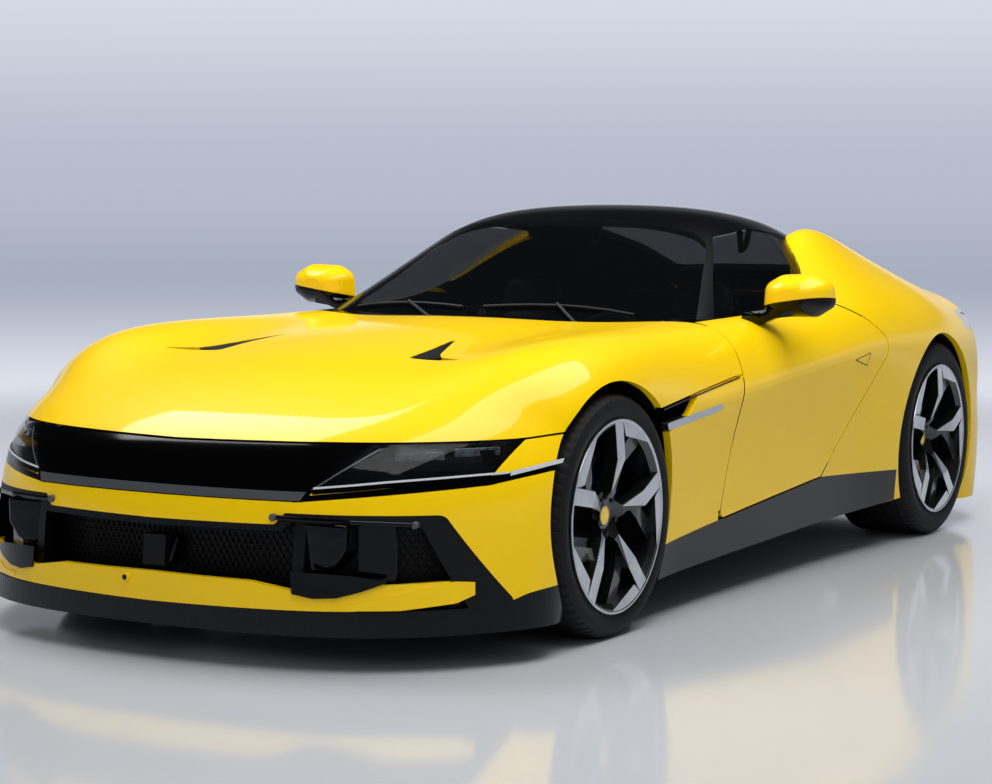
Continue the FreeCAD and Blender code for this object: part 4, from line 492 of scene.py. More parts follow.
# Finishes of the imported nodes, one for each slot
finishes = {
    # Solid yellow two-pack paint: deep warm colour under a hard clear coat
    "paint": layered("yellowLacquer", "#ffd200", {
        "Roughness": 0.42, "Specular IOR Level": 0.1, "Coat Weight": 0.55,
        "Coat Roughness": 0.06, "Coat IOR": 1.45}, (roughDrift, 600, 0.38, 0.46),
        (orangePeel, 5.0, 0.012)),
    # Black roof lacquer, near mirror-like, a touch cool in its reflections
    "black_paint": layered("blackLacquer", "#030304", {
        "Roughness": 0.3, "Coat Weight": 1.0, "Coat Roughness": 0.02, "Coat IOR": 1.5},
        (roughDrift, 400, 0.26, 0.34), (orangePeel, 5.0, 0.012)),
    # Piano-black plastic of the nose visor and trims: deep black under a sharp mirror image
    "black_panel": layered("pianoBlackPlastic", "#040405", {
        "Roughness": 0.1, "IOR": 1.5, "Specular IOR Level": 0.2}, (roughDrift, 250, 0.07, 0.13)),
    # Moulded black plastic with a dull fine grain
    "grille_black": layered("mouldedBlackPlastic", "#0a0a0b", {
        "Roughness": 0.5, "Specular IOR Level": 0.25},
        (variation, ("#050506", "#09090a"), 300, (0.45, 0.6), 1.6, 0.06)),
    # Underbody coating, thick and dull
    "coated_floor": layered("underbodyCoating", "#101011", {"Roughness": 0.75},
                            (variation, ("#0d0d0e", "#161617"), 200, (0.65, 0.85), 4.0, 0.4)),
    # Grey-tinted laminated glass: dark, clear-edged reflections over a dim view inside
    "tinted_glass": layered("tintedGlass", "#0b0d0f", {
        "Roughness": 0.0, "IOR": 1.5, "Alpha": 0.5, "Specular IOR Level": 0.5}),
    # Clear moulded lamp cover, only seen by its reflections
    "clear_cover": layered("clearLampCover", "#1a1c1f", {
        "Roughness": 0.0, "IOR": 1.5, "Alpha": 0.16}),
    # Frosted light guide of the running lamp, bright silver when off
    "lamp_blade": layered("frostedLightGuide", "#c9ccd2", {
        "Roughness": 0.28, "Coat Weight": 0.5, "Coat Roughness": 0.1}),
    # Red moulded tail lens, dark and deep when unlit
    "red_lens": layered("redTailLens", "#5a0308", {
        "Roughness": 0.08, "IOR": 1.5, "Coat Weight": 1.0, "Coat Roughness": 0.02}),
    # Satin bright trim on the wing
    "satin_blade": layered("satinBrightTrim", "#c4c7cc", {"Metallic": 1.0, "Roughness": 0.24},
                           (roughDrift, 150, 0.2, 0.3)),
    # Black leather with small pebbled grain
    "seat_leather": layered("blackLeather", "#101011", {
        "Roughness": 0.5, "Sheen Weight": 0.15, "Sheen Roughness": 0.5},
        (variation, ("#1b1b1d", "#262628"), 220, (0.42, 0.58), 2.4, 0.25)),
    # Dull leathercloth of the dashboard
    "trim_leather": layered("dullLeathercloth", "#0d0d0e", {"Roughness": 0.65},
                            (variation, ("#161617", "#1e1e20"), 260, (0.6, 0.72), 1.8, 0.15)),
    # Cast aluminium with a sandy skin
    "engine_metal": layered("castAluminium", "#8b8d90", {"Metallic": 1.0, "Roughness": 0.5},
                            (variation, ("#7f8184", "#96989b"), 120, (0.45, 0.62), 2.2, 0.25)),
    # Polished stainless exhaust, faintly straw-coloured by heat
    "bright_pipe": layered("polishedStainless", "#b9b5ad", {"Metallic": 1.0, "Roughness": 0.18},
                           (variation, ("#b0a99c", "#c2c1bf"), 60, (0.12, 0.26), 0.8, 0.02)),
    # Dark forged steel links, blotchy from their scale
    "link_steel": layered("forgedSteel", "#3c3d3f", {"Metallic": 1.0, "Roughness": 0.55},
                          (variation, ("#2e2f31", "#47484a"), 90, (0.45, 0.7), 1.8, 0.2)),
    # Satin tyre rubber, grey where it is dusty
    "tyre_rubber": layered("tyreRubber", "#121213", {
        "Roughness": 0.62, "Specular IOR Level": 0.2},
        (variation, ("#0d0d0e", "#151516"), 160, (0.52, 0.72), 0.9, 0.05)),
    # Gloss black lacquered alloy of the wheel spokes
    "wheel_metal": layered("blackAlloyLacquer", "#070708", {
        "Roughness": 0.34, "Coat Weight": 0.8, "Coat Roughness": 0.06},
        (roughDrift, 120, 0.3, 0.4)),
    # Turned brake iron, brighter and darker in patches where the pads rub
    "disc_iron": layered("turnedIron", "#6e6f72", {"Metallic": 1.0, "Roughness": 0.42},
                         (variation, ("#626367", "#7a7b7e"), 80, (0.32, 0.5), 0.7, 0.03)),
}


# Waves of 8 mm run across the cloth, coarser than its real 2 mm tows so that they show
def twill(tree, shader, waveLength, roughLow, roughHigh, depth):
    split = addNode(tree, "ShaderNodeSeparateXYZ", {}, {"Vector": objectCoords(tree)})
    across = addNode(tree, "ShaderNodeMath", {"operation": "ADD"})
    tree.links.new(split.outputs["X"], across.inputs[0])
    tree.links.new(split.outputs["Y"], across.inputs[1])
    waves = addNode(tree, "ShaderNodeMath", {"operation": "MULTIPLY"})
    waves.inputs[1].default_value = math.tau / waveLength
    tree.links.new(across.outputs["Value"], waves.inputs[0])
    sine = addNode(tree, "ShaderNodeMath", {"operation": "SINE"})
    tree.links.new(waves.outputs["Value"], sine.inputs[0])
    weave = addNode(tree, "ShaderNodeMapRange",
                    {"From Min": -1.0, "From Max": 1.0, "To Min": roughLow, "To Max": roughHigh},
                    {"Value": sine.outputs["Value"]})
    tree.links.new(weave.outputs["Result"], shader.inputs["Roughness"])
    addBump(tree, shader, sine.outputs["Value"], depth, 0.5)


# Carbon cloth under satin resin: black with slanting bands of sheen
finishes["carbon_black"] = layered("carbonTwill", "#070708", {
    "Roughness": 0.34, "Specular IOR Level": 0.15, "Coat Weight": 0.15,
    "Coat Roughness": 0.12}, (twill, 0.008, 0.26, 0.42, 0.15))

for item in frame["record"]["subparts"]:
    packed = nodes[item["node"]].data.materials
    packed.clear()
    packed.append(finishes[item["material_slot"]])
print("finishes done")

# Inner faces of the painted panels round the cabin take the trim's finish
lining = {"box": ((-0.93, 0.93), (-0.72, 1.95), (0.16, 1.26)), "middle": Vector((0, 0.4, 0.7)),
          "skinDepth": 0.002, "agreement": 0.9, "doorLean": -0.4,
          "panels": ["body_shell", "tailgate_panel", "roof_panel", "cowl_panel"]}


# Whether a face lies on the outer skin, and turned like it where that counts
def isOuter(face, agreement):
    nearest = [tree.find_nearest(face.center) for tree in (bodyTree, canopyTree)]
    return any(hit[3] < lining["skinDepth"] and abs(hit[1].dot(face.normal)) > agreement
               for hit in nearest)


def lineInside(node, facesCabin, agreement):
    panel = nodes[node].data
    panel.materials.append(finishes["trim_leather"])
    for face in panel.polygons:
        if facesCabin(face) and not isOuter(face, agreement):
            face.material_index = 1


def roundCabin(face):
    inBox = all(low < value < high for value, (low, high) in zip(face.center, lining["box"]))
    return inBox and face.normal.dot(lining["middle"] - face.center) > 0


for name in lining["panels"]:
    lineInside(name, roundCabin, lining["agreement"])
for side, sign in sideSigns:
    lineInside(side + "_door_panel", lambda face: face.normal.x * sign < lining["doorLean"], -1)
print("lining done")

# Wheels
wheelShape = {
    "rimRadius": 0.284, "facetLift": 0.0009, "facetWall": 0.0006, "spokes": 5,
    # Height of the rim's face and radius, from the middle outwards
    "face": [(0.0880, 0.0), (0.0880, 0.0398), (0.1139, 0.0738), (0.1369, 0.1704),
             (0.1360, 0.2840)],
    # Edges of one spoke's turned face, in shares of the rim's radius
    "bandLeft": [(0.262, -0.003), (0.43, -0.018), (0.598, -0.032), (0.79, -0.058),
                 (0.985, -0.087)],
    "bandRight": [(0.262, 0.003), (0.43, 0.069), (0.598, 0.136), (0.79, 0.112), (0.985, 0.087)],
    "bandGrid": (4, 24),
    # The fork's outer web, from its straight inner edge to an arc just inside the rim's edge
    "webInner": ((0.832, 0.150), (0.722, 0.684)), "webArc": (0.990, 5.6, 43.5),
    "webGrid": (5, 12),
    "lip": [(0.1290, 0.2890), (0.1345, 0.2903), (0.1385, 0.2890), (0.1395, 0.2855),
            (0.1385, 0.2815), (0.1345, 0.2785), (0.1285, 0.2760), (0.1265, 0.2800)],
    "lipSteps": 120,
    "cap": [(0.0930, 0.0), (0.0950, 0.0), (0.0947, 0.012), (0.0938, 0.022), (0.0920, 0.0275),
            (0.0895, 0.0285), (0.0895, 0.0)],
    "capSteps": 48,
}
nutShape = {"circle": 0.055, "radius": 0.0105, "length": 0.016, "bevel": 0.0014,
            "height": 0.0935, "firstAngle": 36}
holeShape = {"rings": (0.118, 0.138, 0.158, 0.178), "perRing": 20, "stagger": 0.25,
             "radius": 0.0042, "depth": 0.001, "height": -0.0059}
caliperShape = {"section": [(-0.0900, 0.1180), (0.0270, 0.1180), (0.0330, 0.1250),
                            (0.0350, 0.1500), (0.0350, 0.1930), (0.0310, 0.2130),
                            (0.0200, 0.2230), (-0.0900, 0.2230)],
                "middle": 20, "arc": 57, "steps": 18, "bevel": 0.004}
# Tyre section: inwards or outwards from bead or shoulder, with a share of the wall's height
tyreShape = {
    "seat": [(0.0, 0.2683), (0.006, 0.2835)],
    "lowWall": [(0.0095, 0.06), (0.0115, 0.10), (0.0105, 0.13)],
    "wall": [(0.0045, 0.22), (0.0010, 0.36), (0.0, 0.50), (0.0015, 0.64), (0.0050, 0.74),
             (0.0058, 0.76), (0.0058, 0.78), (0.0105, 0.86)],
    "shoulder": [(0.0180, 0.0055), (0.0260, 0.0022), (0.0380, 0.0004)],
    "grooves": (0.62, 0.22), "grooveTop": 0.0062, "grooveFoot": 0.0050, "grooveDepth": 0.0065,
    "pitches": 66, "phases": [0.0, 0.10, 0.14, 0.52, 0.56, 0.96], "slotPhases": (0, 5),
    "slotDepth": 0.0045, "slotFrom": 0.0390, "slotTo": 0.0100, "slant": 0.35,
}
axles = {
    "front": {"place": (0.843, -1.380, 0.363), "width": 0.275, "bead": 0.1195,
              "dish": (0.0, 0.0, 0.0, 0.0, 0.0), "caliperBody": "front_{}_knuckle"},
    "rear": {"place": (0.825, 1.320, 0.377), "width": 0.315, "bead": 0.1395,
             "dish": (0.0, 0.0, 0.010, 0.020, 0.020), "caliperBody": "chassis"}}

# Alloy faces cut on a lathe and lacquered: bright, with a fine grey grain
machined = layered("machinedAlloy", "#b9bbbf", {
    "Metallic": 1.0, "Roughness": 0.22, "Coat Weight": 0.5, "Coat Roughness": 0.03},
    (variation, ("#b2b4b8", "#c6c8cb"), 90, (0.16, 0.27), 0.6, 0.01))
# Blue brake enamel, a soft gloss behind the spokes
caliperBlue = layered("caliperEnamelBlue", "#0b1650", {
    "Roughness": 0.3, "Coat Weight": 0.8, "Coat Roughness": 0.06}, (roughDrift, 60, 0.26, 0.36))
# Glossy yellow enamel of the plain wheel caps
capYellow = layered("capYellowEnamel", "#ffd600", {
    "Roughness": 0.3, "Coat Weight": 1.0, "Coat Roughness": 0.04}, (roughDrift, 20, 0.26, 0.34))
# Blacked steel of nuts and bolts, dark with bright edges
lugSteel = layered("blackedSteel", "#17181a", {"Metallic": 1.0, "Roughness": 0.35},
                   (roughDrift, 12, 0.28, 0.42))


# Height of the wheel's face at a radius, with the rear wheels' deeper dish
def faceHeight(radius, axle):
    spots = [(r, x + lift) for (x, r), lift in zip(wheelShape["face"], axle["dish"])]
    for (r0, x0), (r1, x1) in zip(spots, spots[1:]):
        if radius <= r1:
            return x0 + (x1 - x0) * (radius - r0) / (r1 - r0)
    return spots[-1][1]


def alongLine(line, share):
    spans = len(line) - 1
    index = min(int(share * spans), spans - 1)
    return between(line[index], line[index + 1], share * spans - index)


# A thin plate between two edges on the wheel's face
def facePlate(leftEdge, rightEdge, grid, axle):
    across, along = grid
    points = []
    for row in range(along + 1):
        left, right = alongLine(leftEdge, row / along), alongLine(rightEdge, row / along)
        for column in range(across + 1):
            up, side = [share * wheelShape["rimRadius"]
                        for share in between(left, right, column / across)]
            height = faceHeight(math.hypot(up, side), axle) + wheelShape["facetLift"]
            points.append((height, side, up))
    return thickened(sheetFrom(across, along, points), wheelShape["facetWall"])


def wheelFacets(axle):
    band = facePlate(wheelShape["bandLeft"], wheelShape["bandRight"], wheelShape["bandGrid"],
                     axle)
    radius, start, end = wheelShape["webArc"]
    count = wheelShape["webGrid"][1]
    angles = [math.radians(start + (end - start) * i / count) for i in range(count + 1)]
    arc = [(radius * math.cos(a), radius * math.sin(a)) for a in angles]
    inner = [between(*wheelShape["webInner"], i / count) for i in range(count + 1)]
    web = facePlate(inner, arc, wheelShape["webGrid"], axle)
    plates = []
    for k in range(wheelShape["spokes"]):
        turn = Matrix.Rotation(math.tau * k / wheelShape["spokes"], 4, "X")
        plates += [copyOf(band, turn), copyOf(web, turn)]
    bpy.data.objects.remove(band)
    bpy.data.objects.remove(web)
    return join(plates)


def lugNuts():
    nuts = []
    for k in range(wheelShape["spokes"]):
        deselect()
        bpy.ops.mesh.primitive_cylinder_add(vertices=6, radius=nutShape["radius"],
                                            depth=nutShape["length"])
        nut = bpy.context.object
        nut.rotation_euler = (0, math.radians(90), 0)
        bevelled(settle(nut), nutShape["bevel"])
        angle = math.radians(nutShape["firstAngle"]) + math.tau * k / wheelShape["spokes"]
        nuts.append(moved(nut, nutShape["height"], nutShape["circle"] * math.sin(angle),
                          nutShape["circle"] * math.cos(angle)))
    return join(nuts)


# Round holes drilled through the brake disc, drawn as shallow black cups on its outer face: their
# black is painted shade of the holes
def discHoleShade():
    holes = []
    for ring, radius in enumerate(holeShape["rings"]):
        for k in range(holeShape["perRing"]):
            angle = math.tau * (k + ring * holeShape["stagger"]) / holeShape["perRing"]
            deselect()
            bpy.ops.mesh.primitive_cylinder_add(
                vertices=12, radius=holeShape["radius"], depth=holeShape["depth"],
                location=(holeShape["height"], radius * math.cos(angle),
                          radius * math.sin(angle)),
                rotation=(0, math.radians(90), 0))
            holes.append(settle(bpy.context.object))
    return join(holes)


def caliperPiece():
    piece = loopFrom([(x, radius, 0) for x, radius in caliperShape["section"]], "NGON")
    start = math.radians(caliperShape["middle"] - caliperShape["arc"] / 2)
    piece.data.transform(Matrix.Rotation(start, 4, "X"))
    editAll(piece)
    bpy.ops.mesh.spin(steps=caliperShape["steps"], angle=math.radians(-caliperShape["arc"]),
                      center=(0, 0, 0), axis=(1, 0, 0))
    return smooth(bevelled(turnOut(piece), caliperShape["bevel"], 3))


# One tyre: its section is spun in fine steps, with grooves and slots let into the tread
def tyrePiece(axle):
    half, radius, bead = axle["width"] / 2, axle["place"][2], axle["bead"]
    rimRadius = wheelShape["rimRadius"]
    rise = radius - rimRadius
    line = [(bead + out, r) for out, r in tyreShape["seat"]]
    line += [(bead + out, rimRadius + rise * share) for out, share in tyreShape["lowWall"]]
    line += [(half - back, rimRadius + rise * share) for back, share in tyreShape["wall"]]
    line += [(half - back, radius - drop) for back, drop in tyreShape["shoulder"]]
    top, foot = tyreShape["grooveTop"], tyreShape["grooveFoot"]
    low = radius - tyreShape["grooveDepth"]
    for middle in (half * share for share in tyreShape["grooves"]):
        line += [(middle + top, radius), (middle + foot, low), (middle - foot, low),
                 (middle - top, radius)]
    line += [(-x, r) for x, r in line[::-1]]
    phases, pitches = tyreShape["phases"], tyreShape["pitches"]
    steps = pitches * len(phases)
    slotFrom, slotTo = half - tyreShape["slotFrom"], half - tyreShape["slotTo"]
    points = []
    for row in range(steps + 1):
        pitch, phase = divmod(row, len(phases))
        turn = math.tau * (pitch + phases[phase]) / pitches
        for x, r in line:
            slotted = phase in tyreShape["slotPhases"] and slotFrom <= abs(x) <= slotTo
            depth = tyreShape["slotDepth"] if slotted else 0.0
            angle = turn + max(0.0, tyreShape["slant"] * (abs(x) - slotFrom) / radius)
            points.append((x, (r - depth) * math.cos(angle), (r - depth) * math.sin(angle)))
    return smooth(turnOut(sheetFrom(len(line) - 1, steps, points), weldGap), 35)


for ends, axle in axles.items():
    lip = [(x + axle["dish"][-1], r) for x, r in wheelShape["lip"]]
    pieces = {
        "spoke_facets": (wheelFacets(axle), machined),
        "rim_lip": (smooth(spunProfile(lip, wheelShape["lipSteps"])), machined),
        "wheel_cap": (smooth(spunProfile(wheelShape["cap"], wheelShape["capSteps"]), 30),
                      capYellow),
        "wheel_nuts": (lugNuts(), lugSteel),
        # Black hole cups on the disc: painted shade where the drilled holes are
        "disc_hole_shade": (discHoleShade(), finishes["grille_black"]),
        "tyre_tread": (tyrePiece(axle), finishes["tyre_rubber"]),
        "caliper": (caliperPiece(), caliperBlue)}
    for side, sign in sideSigns:
        x, y, z = axle["place"]
        wheel = ends + "_" + side
        for pieceName, (piece, pieceFinish) in pieces.items():
            made = moved(copyOf(piece) if sign == 1 else otherSide(piece), sign * x, y, z)
            body = wheel + "_wheel"
            if pieceName == "caliper":
                body = axle["caliperBody"].format(side)
            dress(made, wheel + "_" + pieceName, pieceFinish, body)
            if pieceName == "tyre_tread":
                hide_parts(wheel + "_tyre")
    for piece, pieceFinish in pieces.values():
        bpy.data.objects.remove(piece)
print("wheels done")

# Strips laid on the skin: where each view's ray starts and which way it runs
views = {"front": (Vector((0, 1, 0)), 3.0), "rear": (Vector((0, -1, 0)), 3.0),
         "side": (Vector((-1, 0, 0)), 2.0), "top": (Vector((0, 0, -1)), 2.0)}
missReach = 2.2


# Point on the smooth skin met by a ray, and the skin's outward direction there
def onSkin(tree, first, second, view):
    ray, away = views[view]
    flat = {"side": (0, first, second), "top": (first, second, 0)}.get(view, (first, 0, second))
    start = Vector(flat) - ray * away
    place, normal = tree.ray_cast(start, ray)[:2]
    if place is None:
        place, normal = tree.find_nearest(start + ray * missReach)[:2]
    return place, -normal if normal.dot(ray) > 0 else normal


# Points at even steps along a line
def spreadLine(line, count):
    lengths = [0.0]
    for a, b in zip(line, line[1:]):
        lengths.append(lengths[-1] + math.dist(a, b))
    spread = []
    for i in range(count + 1):
        want = lengths[-1] * i / count
        k = 0
        while k < len(line) - 2 and lengths[k + 1] < want:
            k += 1
        part = (want - lengths[k]) / max(lengths[k + 1] - lengths[k], 1e-9)
        spread.append(between(line[k], line[k + 1], part))
    return spread


# A thin band between two lines on the skin; rise is how far out it lies and its wall
def skinStrip(tree, lineA, lineB, view, grid, rise):
    along, across = grid
    points = []
    for first, last in zip(spreadLine(lineA, along), spreadLine(lineB, along)):
        for column in range(across + 1):
            place, normal = onSkin(tree, *between(first, last, column / across), view)
            points.append(place + normal * rise[0])
    strip = thickened(sheetFrom(across, along, points), rise[1])
    return smooth(turnOut(strip))


def offsetLine(line, rise):
    return [(a, b + rise) for a, b in line]


# A strip on the body, dressed on both sides of the car or, where one body is named, once
def layStrip(name, finish, view, lines, grid, rise=(0.0012, 0.001), bodies=("chassis", "chassis")):
    strip = skinStrip(bodyTree, *lines, view, grid, rise)
    if isinstance(bodies, str):
        dress(strip, name, finish, bodies)
    else:
        bothSides(strip, name, finish, bodies)


# Nose
# Satin grey plastic trim, even and low in shine
satinGrey = layered("satinGreyTrim", "#4a4b4e", {"Roughness": 0.36}, (roughDrift, 120, 0.32, 0.42))
# Fluted lamp glass over a dark mirror: colour patches from near black to blue-grey are painted
# glints, and the fine bump gives real ones
chromedLens = layered("flutedLampGlass", "#8f9cab", {
    "Metallic": 0.4, "Roughness": 0.08, "Coat Weight": 1.0, "Coat Roughness": 0.02},
    (variation, ("#0c1116", "#56626f"), 22, (0.03, 0.08), 9.0, 0.12))
# Black seal rubber, dull
rubberBlack = layered("sealRubber", "#060606", {"Roughness": 0.55}, (roughDrift, 40, 0.5, 0.62))
blackPanel = finishes["black_panel"]

# Lines on the nose, each point as distance from the middle and height
noseLines = {
    "stripLow": [(-0.462, 0.4665), (0.0, 0.4665), (0.462, 0.4665)],
    "stripHigh": [(-0.475, 0.491), (0.0, 0.491), (0.475, 0.491)],
    "thin": [(0.492, 0.4985), (0.587, 0.508), (0.668, 0.517), (0.740, 0.523),
             (0.801, 0.5275), (0.854, 0.531), (0.898, 0.533)],
    "thick": [(0.901, 0.5265), (0.939, 0.5395), (0.971, 0.5520)],
    "slant": [(0.486, 0.497), (0.528, 0.530), (0.575, 0.567), (0.622, 0.606)],
    "slantFar": [(0.493, 0.497), (0.535, 0.530), (0.582, 0.567), (0.629, 0.606)],
    "bar": [(0.395, 0.421), (0.470, 0.417), (0.601, 0.413), (0.747, 0.405)],
    "footHigh": [(0.455, 0.276), (0.540, 0.274), (0.620, 0.268), (0.695, 0.256)],
    "footLow": [(0.462, 0.216), (0.520, 0.205), (0.580, 0.208), (0.640, 0.226), (0.695, 0.249)],
    "fillHigh": [(0.560, 0.190), (0.620, 0.190), (0.740, 0.222), (0.830, 0.248), (0.866, 0.243)],
    "fillLow": [(0.560, 0.176), (0.620, 0.174), (0.729, 0.174), (0.837, 0.188), (0.868, 0.208)],
}
thin, thick = noseLines["thin"], noseLines["thick"]
layStrip("visor_lower_strip", satinGrey, "front",
         (noseLines["stripLow"], noseLines["stripHigh"]), (60, 2), bodies="chassis")
layStrip("running_lamp_line", finishes["lamp_blade"], "front", (thin, offsetLine(thin, 0.0055)),
         (60, 2), (0.0016, 0.0015))
layStrip("lamp_lower_band", blackPanel, "front",
         (offsetLine(thin, -0.0015), offsetLine(thin, -0.0135)), (60, 2), (0.0010, 0.001))
layStrip("running_lamp_end", finishes["lamp_blade"], "front", (thick, offsetLine(thick, 0.0125)),
         (30, 3), (0.0022, 0.002))
# Satin grey strip along the slanting lamp edge: a painted highlight line on the black band
layStrip("lamp_edge_painted_highlight", satinGrey, "front", (noseLines["slant"], noseLines["slantFar"]),
         (30, 2))

# Two fluted lens modules a side, just behind the clear cover and turned to its slope
lensShape = {"rows": [((0.668, 0.592), (0.768, 0.596)), ((0.790, 0.601), (0.868, 0.601))],
             "perRow": 2, "inset": 0.017, "depth": 0.012, "height": 0.025, "bevel": 0.004,
             "fill": 0.93, "leastSlope": 0.3}
lensParts = []
for first, last in lensShape["rows"]:
    for i in range(lensShape["perRow"]):
        x, z = between(first, last, (i + 0.5) / lensShape["perRow"])
        place, normal = onSkin(bodyTree, x, z, "front")
        pitch = (last[0] - first[0]) / lensShape["perRow"]
        width = pitch / max(-normal.y, lensShape["leastSlope"]) * lensShape["fill"]
        block = roundedBlock((0, 0, 0), (width, lensShape["depth"], lensShape["height"]),
                             lensShape["bevel"])
        turn = Matrix.Rotation(math.atan2(normal.x, -normal.y), 4, "Z")
        block.data.transform(Matrix.Translation(place - normal * lensShape["inset"]) @ turn)
        lensParts.append(block)
bothSides(smooth(join(lensParts)), "lamp_lenses", chromedLens)

# Hexagonal mesh: one cell, repeated across the intake and bent to its plan
meshShape = {"cell": 0.0115, "inner": 0.0096, "depth": 0.005, "columns": 88, "rows": 8,
             "low": 0.168, "back": 0.0045, "foot": 0.172, "footHalf": 0.850, "sideLean": 0.44,
             "top": 0.386, "topFrom": 0.40, "topLean": 0.6, "topRise": 0.02, "highest": 0.402,
             "plan": [(0.0, -2.262), (0.3, -2.242), (0.56, -2.180), (0.74, -2.070),
                      (0.88, -1.900)]}
cellWidth = meshShape["cell"] * math.sqrt(3)
cellRise = meshShape["cell"] * 1.5


def hexCell(*middle):
    deselect()
    bpy.ops.mesh.primitive_circle_add(vertices=6, radius=meshShape["cell"], fill_type="NGON",
                                      rotation=(math.radians(90), math.radians(30), 0))
    cell = settle(bpy.context.object)
    editAll(cell)
    bpy.ops.mesh.inset(thickness=meshShape["cell"] - meshShape["inner"])
    bpy.ops.mesh.delete(type="FACE")
    toObjectMode()
    return moved(cell, *middle)


def planDepth(x):
    line = meshShape["plan"]
    x = min(abs(x), line[-1][0])
    for (x0, y0), (x1, y1) in zip(line, line[1:]):
        if x <= x1:
            return y0 + (y1 - y0) * (x - x0) / (x1 - x0)
    return line[-1][1]


def outsideMesh(x, z):
    edge = meshShape["footHalf"] - (z - meshShape["foot"]) * meshShape["sideLean"]
    rise = min(meshShape["topRise"], (x - meshShape["topFrom"]) * meshShape["topLean"])
    return x > edge or z > meshShape["highest"] or z > meshShape["top"] + max(0.0, rise)


intakeMesh = join([hexCell(0, 0, 0), hexCell(cellWidth / 2, 0, cellRise)])
for count, step in ((meshShape["columns"], (cellWidth, 0, 0)),
                    (meshShape["rows"], (0, 0, cellRise * 2))):
    addModifier(intakeMesh, "ARRAY", {"count": count, "use_relative_offset": False,
                                      "use_constant_offset": True,
                                      "constant_offset_displace": step})
applyAll(intakeMesh)
moved(intakeMesh, -cellWidth * (meshShape["columns"] / 2 - 0.25), 0, meshShape["low"])
activate(intakeMesh)
bpy.ops.object.mode_set(mode="EDIT")
bpy.ops.mesh.select_all(action="DESELECT")
bpy.ops.mesh.select_mode(type="FACE")
intakeFaces = bmesh.from_edit_mesh(intakeMesh.data)
for face in intakeFaces.faces:
    middle = face.calc_center_median()
    face.select = outsideMesh(abs(middle.x), middle.z)
bmesh.update_edit_mesh(intakeMesh.data)
bpy.ops.mesh.delete(type="FACE")
toObjectMode()
thickened(intakeMesh, meshShape["depth"])
for vertex in intakeMesh.data.vertices:
    vertex.co.y += planDepth(vertex.co.x) - meshShape["back"]
dress(intakeMesh, "intake_mesh", finishes["grille_black"], "chassis")

# Shield-shaped duct block, its foot dipping into the low blade, and the bar above
ductShape = {
    "shield": [(0.452, -2.262, 0.408), (0.604, -2.262, 0.408), (0.602, -2.262, 0.335),
               (0.570, -2.262, 0.292), (0.538, -2.262, 0.276), (0.482, -2.262, 0.270)],
    "shieldWall": (0, 0.075, 0), "shieldBevel": 0.010,
    "panel": [(0.604, -2.196, 0.180), (0.604, -2.196, 0.400), (0.690, -2.142, 0.400),
              (0.690, -2.142, 0.180)],
    "panelWall": (0.002, 0.006, 0), "barRadius": 0.0075, "barLift": 0.001,
    "eyeRadius": 0.0105, "eyeBack": 0.006, "eyeFront": 0.011, "eyeBevel": 0.003}
shield = plateFrom(ductShape["shield"], ductShape["shieldWall"], ductShape["shieldBevel"], 4)
bothSides(smooth(shield, 35), "duct_shield", blackPanel)
layStrip("duct_foot", blackPanel, "front", (noseLines["footHigh"], noseLines["footLow"]),
         (24, 6), (0.004, 0.005))
layStrip("low_blade_end", finishes["paint"], "front",
         (noseLines["fillHigh"], noseLines["fillLow"]), (40, 6), (0.0015, 0.003))
bothSides(plateFrom(ductShape["panel"], ductShape["panelWall"]), "duct_panel", blackPanel)
barPoints = []
for x, z in noseLines["bar"]:
    place, normal = onSkin(bodyTree, x, z, "front")
    barPoints.append(place + normal * ductShape["barLift"])
bars = [rodBetween(a, b, ductShape["barRadius"], 16) for a, b in zip(barPoints, barPoints[1:])]
bothSides(smooth(join(bars)), "intake_bar", blackPanel)


# A round plug standing along the car, from behind a place to in front of it
def plugAt(place, back, front, radius, sides=32, bevel=0.003):
    return rodBetween(place + Vector((0, back, 0)), place - Vector((0, front, 0)), radius,
                      sides, bevel)


eyes = [plugAt(end, ductShape["eyeBack"], ductShape["eyeFront"], ductShape["eyeRadius"])
        for end in (barPoints[0], barPoints[-1])]
bothSides(smooth(join(eyes)), "sensor_eyes", satinGrey)
towShape = {"place": (-0.075, 0.225), "back": 0.012, "front": 0.010, "radius": 0.013,
            "mouthFrom": -0.009, "mouthTo": 0.0108, "mouthRadius": 0.008}
towPlace = onSkin(bodyTree, *towShape["place"], "front")[0]
tow = plugAt(towPlace, towShape["back"], towShape["front"], towShape["radius"])
# A black disc on the tow eye's face: painted shade of its opening
towMouthShade = plugAt(towPlace, towShape["mouthFrom"], towShape["mouthTo"],
                  towShape["mouthRadius"], 24, 0.0)
dress(smooth(tow), "tow_eye", finishes["paint"], "chassis")
dress(towMouthShade, "tow_eye_mouth_shade", finishes["grille_black"], "chassis")
sensorShape = {"outline": [(-0.062, -2.30, 0.345), (0.062, -2.30, 0.345),
                           (0.050, -2.318, 0.268), (-0.050, -2.318, 0.268)],
               "wall": (0, 0.045, 0.0), "bevel": 0.008}
sensor = plateFrom(sensorShape["outline"], sensorShape["wall"], sensorShape["bevel"], 4)
dress(smooth(sensor), "distance_sensor_cover", blackPanel, "chassis")
nodes["lamp_blades"].data.materials.clear()
nodes["lamp_blades"].data.materials.append(blackPanel)
print("nose done")

